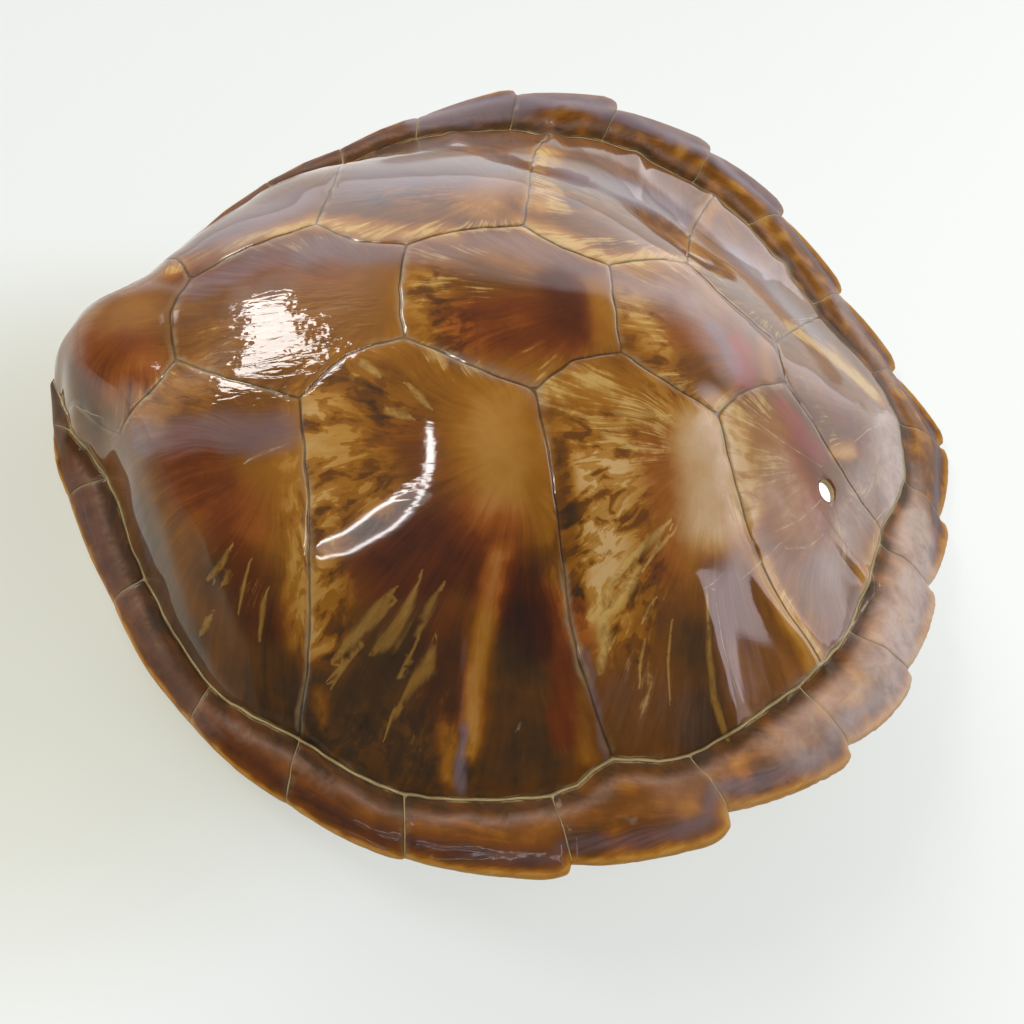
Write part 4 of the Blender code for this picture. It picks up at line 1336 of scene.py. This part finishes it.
# %% Noises that run with the horn's growth, and some that don't
horn, tree, shader = new_material("varnished_horn")
streak_space = attribute("growth", "Vector")
object_space = node("TexCoord", output="Object")
clear = attribute("clear_of_centre")
streak = noise_of(streak_space, 1.0, 4.0, 0.6, 0.25) * clear
fine_streak = noise_of(scaled(streak_space, (2.6, 2.6, 0.9)), 1.6, 4.0, 0.6, 0.2) * clear
patch = noise_of(scaled(streak_space, (1.0, 1.0, 2.0)), 1.3, 3.5, 0.54, 0.6) * clear
mottle = noise_of(object_space, 150.0, 5.0, 0.62, 0.4)
cloud = noise_of(object_space, 34.0)

# %% Mix the horn: ground and patches, red cores, pale flames, lilac tint and painted sheen, magenta stains, pinkish painted sheen
torn_patch = patch + 0.26 * mottle
patches = 0.24 * ramp(torn_patch, 0.0, 0.24) - 0.32 * ramp(torn_patch, -0.14, -0.60)
tone = attribute("tone") + 0.075 * streak + 0.045 * fine_streak + 0.05 * cloud + 0.035 * mottle
tone = tone + patches * attribute("blotch")
red = ramp(attribute("red") + 0.12 * streak, 0.15, 0.95)
colour = mixed(red, tones(tone, HORN_TONES), tones(tone, RED_TONES))


def path_gap(name):
    """Gap to the nearest path of this name, in half widths."""
    left, right, _ = parts_of(attribute(name, "Vector"))
    return larger(left, right)


pale_field = attribute("pale") + 0.20 * streak + 0.22 * fine_streak + 0.12 * mottle
flame = ramp(path_gap("flames") + 0.5 * fine_streak + 0.25 * mottle, 0.1, 1.2, 0.92, 0.0)
flame_tone = tone + 0.15 * fine_streak + 0.14 * mottle
flame_colour = mixed(ramp(flame_tone, 0.1, 0.85), FLAME_DEEP, FLAME_PALE)
colour = mixed(larger(0.8 * ramp(pale_field, 0.58, 0.84), flame), colour, flame_colour)
# Painted grey-lilac sheen, and the purple band of the marginals.
lilac_tint_and_sheen = ramp(attribute("lilac_tint_and_sheen") + 0.12 * fine_streak, 0.1, 1.0)
colour = mixed(0.7 * lilac_tint_and_sheen, colour, LILAC_TINT_AND_SHEEN_COLOUR)
magenta = ramp(attribute("magenta") + 0.3 * fine_streak, 0.25, 1.0)
colour = mixed(0.4 * magenta, colour, MAGENTA_BLOOM)
# Painted pinkish sheen.
colour = mixed(attribute("painted_sheen") * ramp(mottle + cloud, -1.2, 1.2, 0.5, 0.95), colour, PAINTED_SHEEN_COLOUR)

# %% Draw seams, scratches and a painted highlight, with each band's inner and outer edge in mm from its line
LIP = (0.5, 2.8)
LIP_CLEAR_OF_GUTTER = (1.5, 3.5)
SEAM_SHADOW = (0.22, 0.62)
SEAM_THREAD = (0.08, 0.26)
GUTTER_SHADOW = (0.5, 1.6)
GUTTER_THREAD = (0.30, 0.72)
SECOND_THREAD = (0.08, 0.35)
SECOND_THREAD_AT = 1.0

rim_share = attribute("on_rim")
seam_gap = attribute("to_seam")
gutter_gap = attribute("to_gutter")
lip_gap = seam_gap + 0.7 * mottle + 0.9 * fine_streak + 0.8 * cloud
lip = ramp(lip_gap, *LIP, 0.6, 0.0) * ramp(rim_share, 0.0, 1.0, 1.0, 0.4)
lip = lip * ramp(gutter_gap, *LIP_CLEAR_OF_GUTTER, 0.3, 1.0) * ramp(cloud + 0.8 * streak, -0.7, 0.9)
colour = mixed(lip, colour, LIP_PALE)
line_gap = seam_gap + 0.12 * mottle
shadow = ramp(line_gap, *SEAM_SHADOW, 0.68, 0.0) * ramp(rim_share, 0.0, 1.0, 1.0, 0.5)
gutter_shadow = ramp(gutter_gap + 0.2 * mottle, *GUTTER_SHADOW, 0.5, 0.0)
colour = mixed(larger(shadow, gutter_shadow), colour, SEAM_DARK)
presence = ramp(cloud + 0.7 * mottle, -0.4, 1.0, 0.0, 0.9)
thread = ramp(line_gap, *SEAM_THREAD, 1.0, 0.0) * larger(presence, 0.7 * rim_share)
colour = mixed(thread, colour, mixed(rim_share, THREAD_PALE, SEAM_PALE))
gutter_thread = ramp(gutter_gap + 0.22 * mottle, *GUTTER_THREAD, 0.9, 0.0)
gutter_thread = gutter_thread * ramp(mottle + cloud, -1.4, 0.2, 0.35, 1.0)
second_gap = maths("ABSOLUTE", gutter_gap + 0.3 * mottle - SECOND_THREAD_AT)
second_thread = ramp(second_gap, *SECOND_THREAD, 0.8, 0.0) * presence
colour = mixed(larger(gutter_thread, second_thread), colour, SEAM_PALE)
# Pale scratches, and one painted highlight.
scratch_and_glint = ramp(path_gap("scratches_and_glint") + 0.6 * mottle, 0.2, 1.3, 0.6, 0.0)
colour = mixed(scratch_and_glint * ramp(mottle, -0.4, 0.6, 0.1, 1.0), colour, SCRATCH_AND_GLINT_PALE)

# %% Brush marks in the varnish, and the horn's shader
BRUSH_HEIGHT = 0.00001

brush = noise_of(scaled(object_space, (75.0, 440.0, 300.0)), 1.0, 2.0, 0.5, 0.8)
orange_peel = noise_of(object_space, 160.0, 2.0)
relief = (brush + 0.8 * orange_peel) * attribute("brushed")
dent = node("Bump", {"Strength": 1.0, "Distance": BRUSH_HEIGHT, "Height": relief}, "Normal")
connect(shader, {
    "Base Color": colour,
    "Roughness": 0.5,
    "IOR": 1.5,
    "Specular IOR Level": 0.12,
    "Normal": dent,
    "Coat Weight": attribute("gloss"),
    "Coat Roughness": 0.05,
    "Coat IOR": 1.5,
    "Coat Normal": dent,
})
print("horn material:", len(tree.nodes), "nodes")

# %% [markdown]
# ## The bare bone below
# The photograph shows only the upper side. Below, such a shell is dry bone, cream to tan, with darker pores.

# %% Bone
BONE_DEEP = linear(176, 146, 104)
BONE_PALE = linear(212, 190, 150)
PORE_DARK = linear(120, 92, 60)
BONE_RELIEF = 0.0002

bone, tree, shader = new_material("dry_bone")
object_space = node("TexCoord", output="Object")
blotch = noise_of(object_space, 40.0, 5.0, 0.6)
pore = noise_of(object_space, 600.0, 3.0, 0.6)
bone_colour = mixed(ramp(blotch, -1.0, 1.0), BONE_DEEP, BONE_PALE)
bone_colour = mixed(ramp(pore, 0.5, 1.3, 0.0, 0.5), bone_colour, PORE_DARK)
relief = 0.6 * blotch + 0.3 * pore
dent = node("Bump", {"Strength": 0.6, "Distance": BONE_RELIEF, "Height": relief}, "Normal")
connect(shader, {"Base Color": bone_colour, "Roughness": 0.6, "Normal": dent})
print("bone material:", len(tree.nodes), "nodes")

# %% Give the faces their material
BORE_REACH = 0.4
BONE_BELOW = 0.2
BORE_BONE_BELOW = 0.95

mesh.materials.append(horn)
mesh.materials.append(bone)
in_bore = radius[point_of_face].max(1) < HOLE_RADIUS + BORE_REACH
is_bone = upper[point_of_face].mean(1) < np.where(in_bore, BORE_BONE_BELOW, BONE_BELOW)
mesh.polygons.foreach_set("material_index", is_bone.astype(np.int32))
mesh.polygons.foreach_set("use_smooth", np.ones(len(mesh.polygons), bool))
mesh.update()
print("bone faces:", is_bone.sum())

# %% [markdown]
# ## Varnish that mirrors evenly
# Varnish levels itself before it dries, so it mirrors a window or a wall in smooth curves. The fine mesh's
# own normals waver a little where triangles of different sizes meet, and a mirror shows that at once. A finer
# mesh would only make the wavering smaller, so the dome is given the slope of the exact surface.

# %% Give the dome the normals of its exact surface
SLOPE_STEP = 0.5


def slope_along(axis):
    """Slope of the upper side along an axis of the plan, without its seams and lumps."""
    step = SLOPE_STEP * np.eye(2)[axis]
    ahead, behind = (upper_height(place)[0] + rib_ridges(place) for place in (plan + step, plan - step))
    return (ahead - behind) / (2 * SLOPE_STEP)


exact = np.column_stack([-slope_along(0), -slope_along(1), np.ones(len(plan))])
exact /= np.linalg.norm(exact, axis=1)[:, None]
share = (upper > 0.99) * (outward < 0) * ease(to_seam, 1.0, 3.0)
share *= ease(to_edge, 2, 6) * ease(radius, HOLE_RADIUS + 1, HOLE_RADIUS + 5)
normals += share[:, None] * (exact - normals)
mesh.normals_split_custom_set_from_vertices(normals / np.linalg.norm(normals, axis=1)[:, None])
print("points with an exact normal:", (share > 0.5).sum())

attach(shell, "root")
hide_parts("carapace")

# %% [markdown]
# ## Floor, light and room
# The photograph was taken on a pale sheet in a bright room. A window to the left and behind gives the square
# glare on the second vertebral, bright strips that bend over the ceiling give the curved line on the second
# costal, and pale walls give the grey sheen on the far side. Walls of real panels would need care not to
# shade each other, so the room is drawn on the world by direction, and a plain backdrop hides it from the
# camera.

# %% Floor: painted light brighter to the right and the front, painted shade beside the shell, painted light below the drilled hole
FLOOR_SIZE = 6.0
FLOOR_DROP = 0.0005
FLOOR_GLOW = 0.67
# Painted light: the floor's glow grows to the right and to the front.
BRIGHTER_TO_THE_RIGHT = 0.25
BRIGHTER_TO_THE_FRONT = 0.14
MOST_CHANGE = 0.15
# Painted shade: two soft dark patches on the floor beside the shell, the warm one tinted.
WARM_PAINTED_SHADE = (-0.18, -0.065)
COOL_PAINTED_SHADE = (0.02, -0.13)
WARM_DEPTH = 0.20
COOL_DEPTH = 0.14
# Painted light: a bright patch on the floor below the drilled hole.
BELOW_HOLE = (0.127, -0.023)
WHITE_PAPER = (0.96, 1.0, 0.99, 1.0)
WARM_SHADE_TINT = (1.0, 1.0, 0.82, 1.0)
PAPER_COLOUR = (0.30, 0.30, 0.28, 1.0)


def dot(first, second):
    return node("VectorMath", {0: first, 1: second}, "Value", operation="DOT_PRODUCT")


def round_patch(place, centre, inner, outer):
    """1 near a centre in plan and 0 far from it. Both ends of the fade are squared distances."""
    offset = node("VectorMath", {0: place, 1: (*centre, 0.0)}, "Vector", operation="SUBTRACT")
    return ramp(dot(offset, offset), inner, outer, 1.0, 0.0)


bpy.ops.mesh.primitive_plane_add(size=FLOOR_SIZE, location=(0, 0, -FLOOR_DROP))
floor = bpy.context.object
floor.name = "pale_floor"
paper, tree, shader = new_material("pale_paper")
place = node("TexCoord", output="Object")
# Painted shade beside the shell and painted light below the hole, in the floor's glow.
warm_painted_shade = round_patch(place, WARM_PAINTED_SHADE, 0.0, 0.025)
cool_painted_shade = round_patch(place, COOL_PAINTED_SHADE, 0.0, 0.04)
painted_light_below_hole = round_patch(place, BELOW_HOLE, 0.0003, 0.0012)
x, y, _ = parts_of(place)
slope = maths("MINIMUM", BRIGHTER_TO_THE_RIGHT * x - BRIGHTER_TO_THE_FRONT * y, MOST_CHANGE)
glow_with_painted_light = larger(slope, -MOST_CHANGE) + FLOOR_GLOW - WARM_DEPTH * warm_painted_shade - COOL_DEPTH * cool_painted_shade + painted_light_below_hole
connect(shader, {
    "Base Color": PAPER_COLOUR,
    "Roughness": 0.9,
    "Specular IOR Level": 0.1,
    "Emission Strength": glow_with_painted_light,
    "Emission Color": mixed(warm_painted_shade, WHITE_PAPER, WARM_SHADE_TINT),
})
floor.data.materials.append(paper)
print("floor material:", len(tree.nodes), "nodes")


# %% The room's pale walls and dim ceiling
def towards(azimuth, elevation):
    """Unit vector at an azimuth, in degrees from +Y towards +X, and an elevation."""
    a, e = math.radians(azimuth), math.radians(elevation)
    return Vector((math.sin(a) * math.cos(e), math.cos(a) * math.cos(e), math.sin(e)))


ROOM_DIM = (0.06, 0.06, 0.06, 1.0)
PALE_WALLS = [
    # azimuth, elevation, radius and softness in degrees, and the colour's light
    (-62.0, 0.0, 30.0, 9.0, (1.3, 1.3, 1.3)),
    (-25.0, 0.0, 37.0, 8.0, (1.12, 1.11, 1.10)),
    (5.0, 0.0, 42.0, 4.0, (1.42, 1.41, 1.46)),
    (50.0, 0.0, 24.0, 5.0, (2.1, 2.05, 2.15)),
    (92.0, 0.0, 27.0, 5.0, (1.3, 1.3, 1.35)),
    (90.0, 24.0, 3.5, 1.5, (3.2, 3.1, 3.5)),
    (85.0, 33.0, 7.5, 1.5, (3.4, 3.3, 3.6)),
    (75.0, 30.0, 9.0, 3.0, (3.2, 3.1, 3.2)),
]
BACKDROP = (0.86, 0.88, 0.87, 1.0)

world = bpy.data.worlds.new("room")
bpy.context.scene.world = world
world.use_nodes = True
tree = world.node_tree
look = node("TexCoord", output="Generated")
light = ROOM_DIM
for azimuth, elevation, wall_radius, softness, colour in PALE_WALLS:
    fade = (math.cos(math.radians(wall_radius + sign * softness)) for sign in (1, -1))
    light = mixed(ramp(dot(look, towards(azimuth, elevation)), *fade), light, (*colour, 1.0))
seen_directly = node("LightPath", output="Is Camera Ray")
connect(tree.nodes["Background"], {"Color": mixed(seen_directly, light, BACKDROP)})
print("room:", len(tree.nodes), "nodes")


# %% Window, strips on the ceiling and a soft fill
def panel(name, middle, aim, along, width, length, radiance):
    """An area light of a given brightness, facing the point it aims at, with its length along a direction."""
    back = (Vector(middle) - Vector(aim)).normalized()
    across = Vector(along).cross(back).normalized()
    bpy.ops.object.light_add(type="AREA", location=middle)
    lamp = bpy.context.object
    lamp.name = name
    lamp.data.shape = "RECTANGLE"
    lamp.data.size, lamp.data.size_y = width, length
    lamp.data.energy = radiance * math.pi * width * length
    lamp.rotation_euler = Matrix((across, back.cross(across), back)).transposed().to_euler()
    lamp.visible_camera = False
    return lamp


# The window runs from one direction to another, as the glare on the second vertebral sees it.
WINDOW_GLARE = Vector((-0.100, -0.015, 0.068))
WINDOW_DISTANCE = 1.3
WINDOW_WIDTH = 0.23
WINDOW_ENDS = [(-39, 30), (-58, 45)]
WINDOW_RADIANCE = 17.0
WINDOW_COLOUR = (1.0, 0.98, 0.95)
CEILING = 1.57
FILL_PLACE = (0.7, 0.2, 1.6)
FILL_SIZE = 1.8
FILL_RADIANCE = 0.86
TUBES = [
    # width, radiance and the path over the ceiling
    (0.045, 26.0, [(-0.32, 0.04), (-0.36, -0.30)]),
    (0.028, 28.0, [(-0.36, -0.30), (-0.45, -0.42), (-0.70, -0.62), (-0.92, -0.87), (-1.26, -1.11)]),
    (0.024, 26.0, [(-0.36, -0.36), (-0.44, -0.58), (-0.61, -0.82), (-0.98, -1.17), (-1.36, -1.40)]),
    (0.200, 2.6, [(-0.43, -0.46), (-0.60, -0.70), (-0.95, -1.02), (-1.25, -1.22)]),
]
start, end = (WINDOW_GLARE + WINDOW_DISTANCE * towards(*way) for way in WINDOW_ENDS)
middle = (start + end) / 2
length = (end - start).length
window = panel("window", middle, WINDOW_GLARE, end - start, WINDOW_WIDTH, length, WINDOW_RADIANCE)
window.data.color = WINDOW_COLOUR
for number, (width, radiance, path) in enumerate(TUBES, 1):
    for start, end in zip(path, path[1:]):
        start, end = Vector((*start, CEILING)), Vector((*end, CEILING))
        middle = (start + end) / 2
        below = middle - Vector((0, 0, 1))
        panel(f"tube_{number}", middle, below, end - start, width, (end - start).length, radiance)

# A wide soft light fills in from above. The varnish doesn't mirror it, as the photograph shows no such patch.
fill = panel("soft_fill", FILL_PLACE, (0, 0, 0), (0, 1, 0), FILL_SIZE, FILL_SIZE, FILL_RADIANCE)
fill.visible_glossy = False

bpy.context.scene.view_settings.view_transform = "Standard"
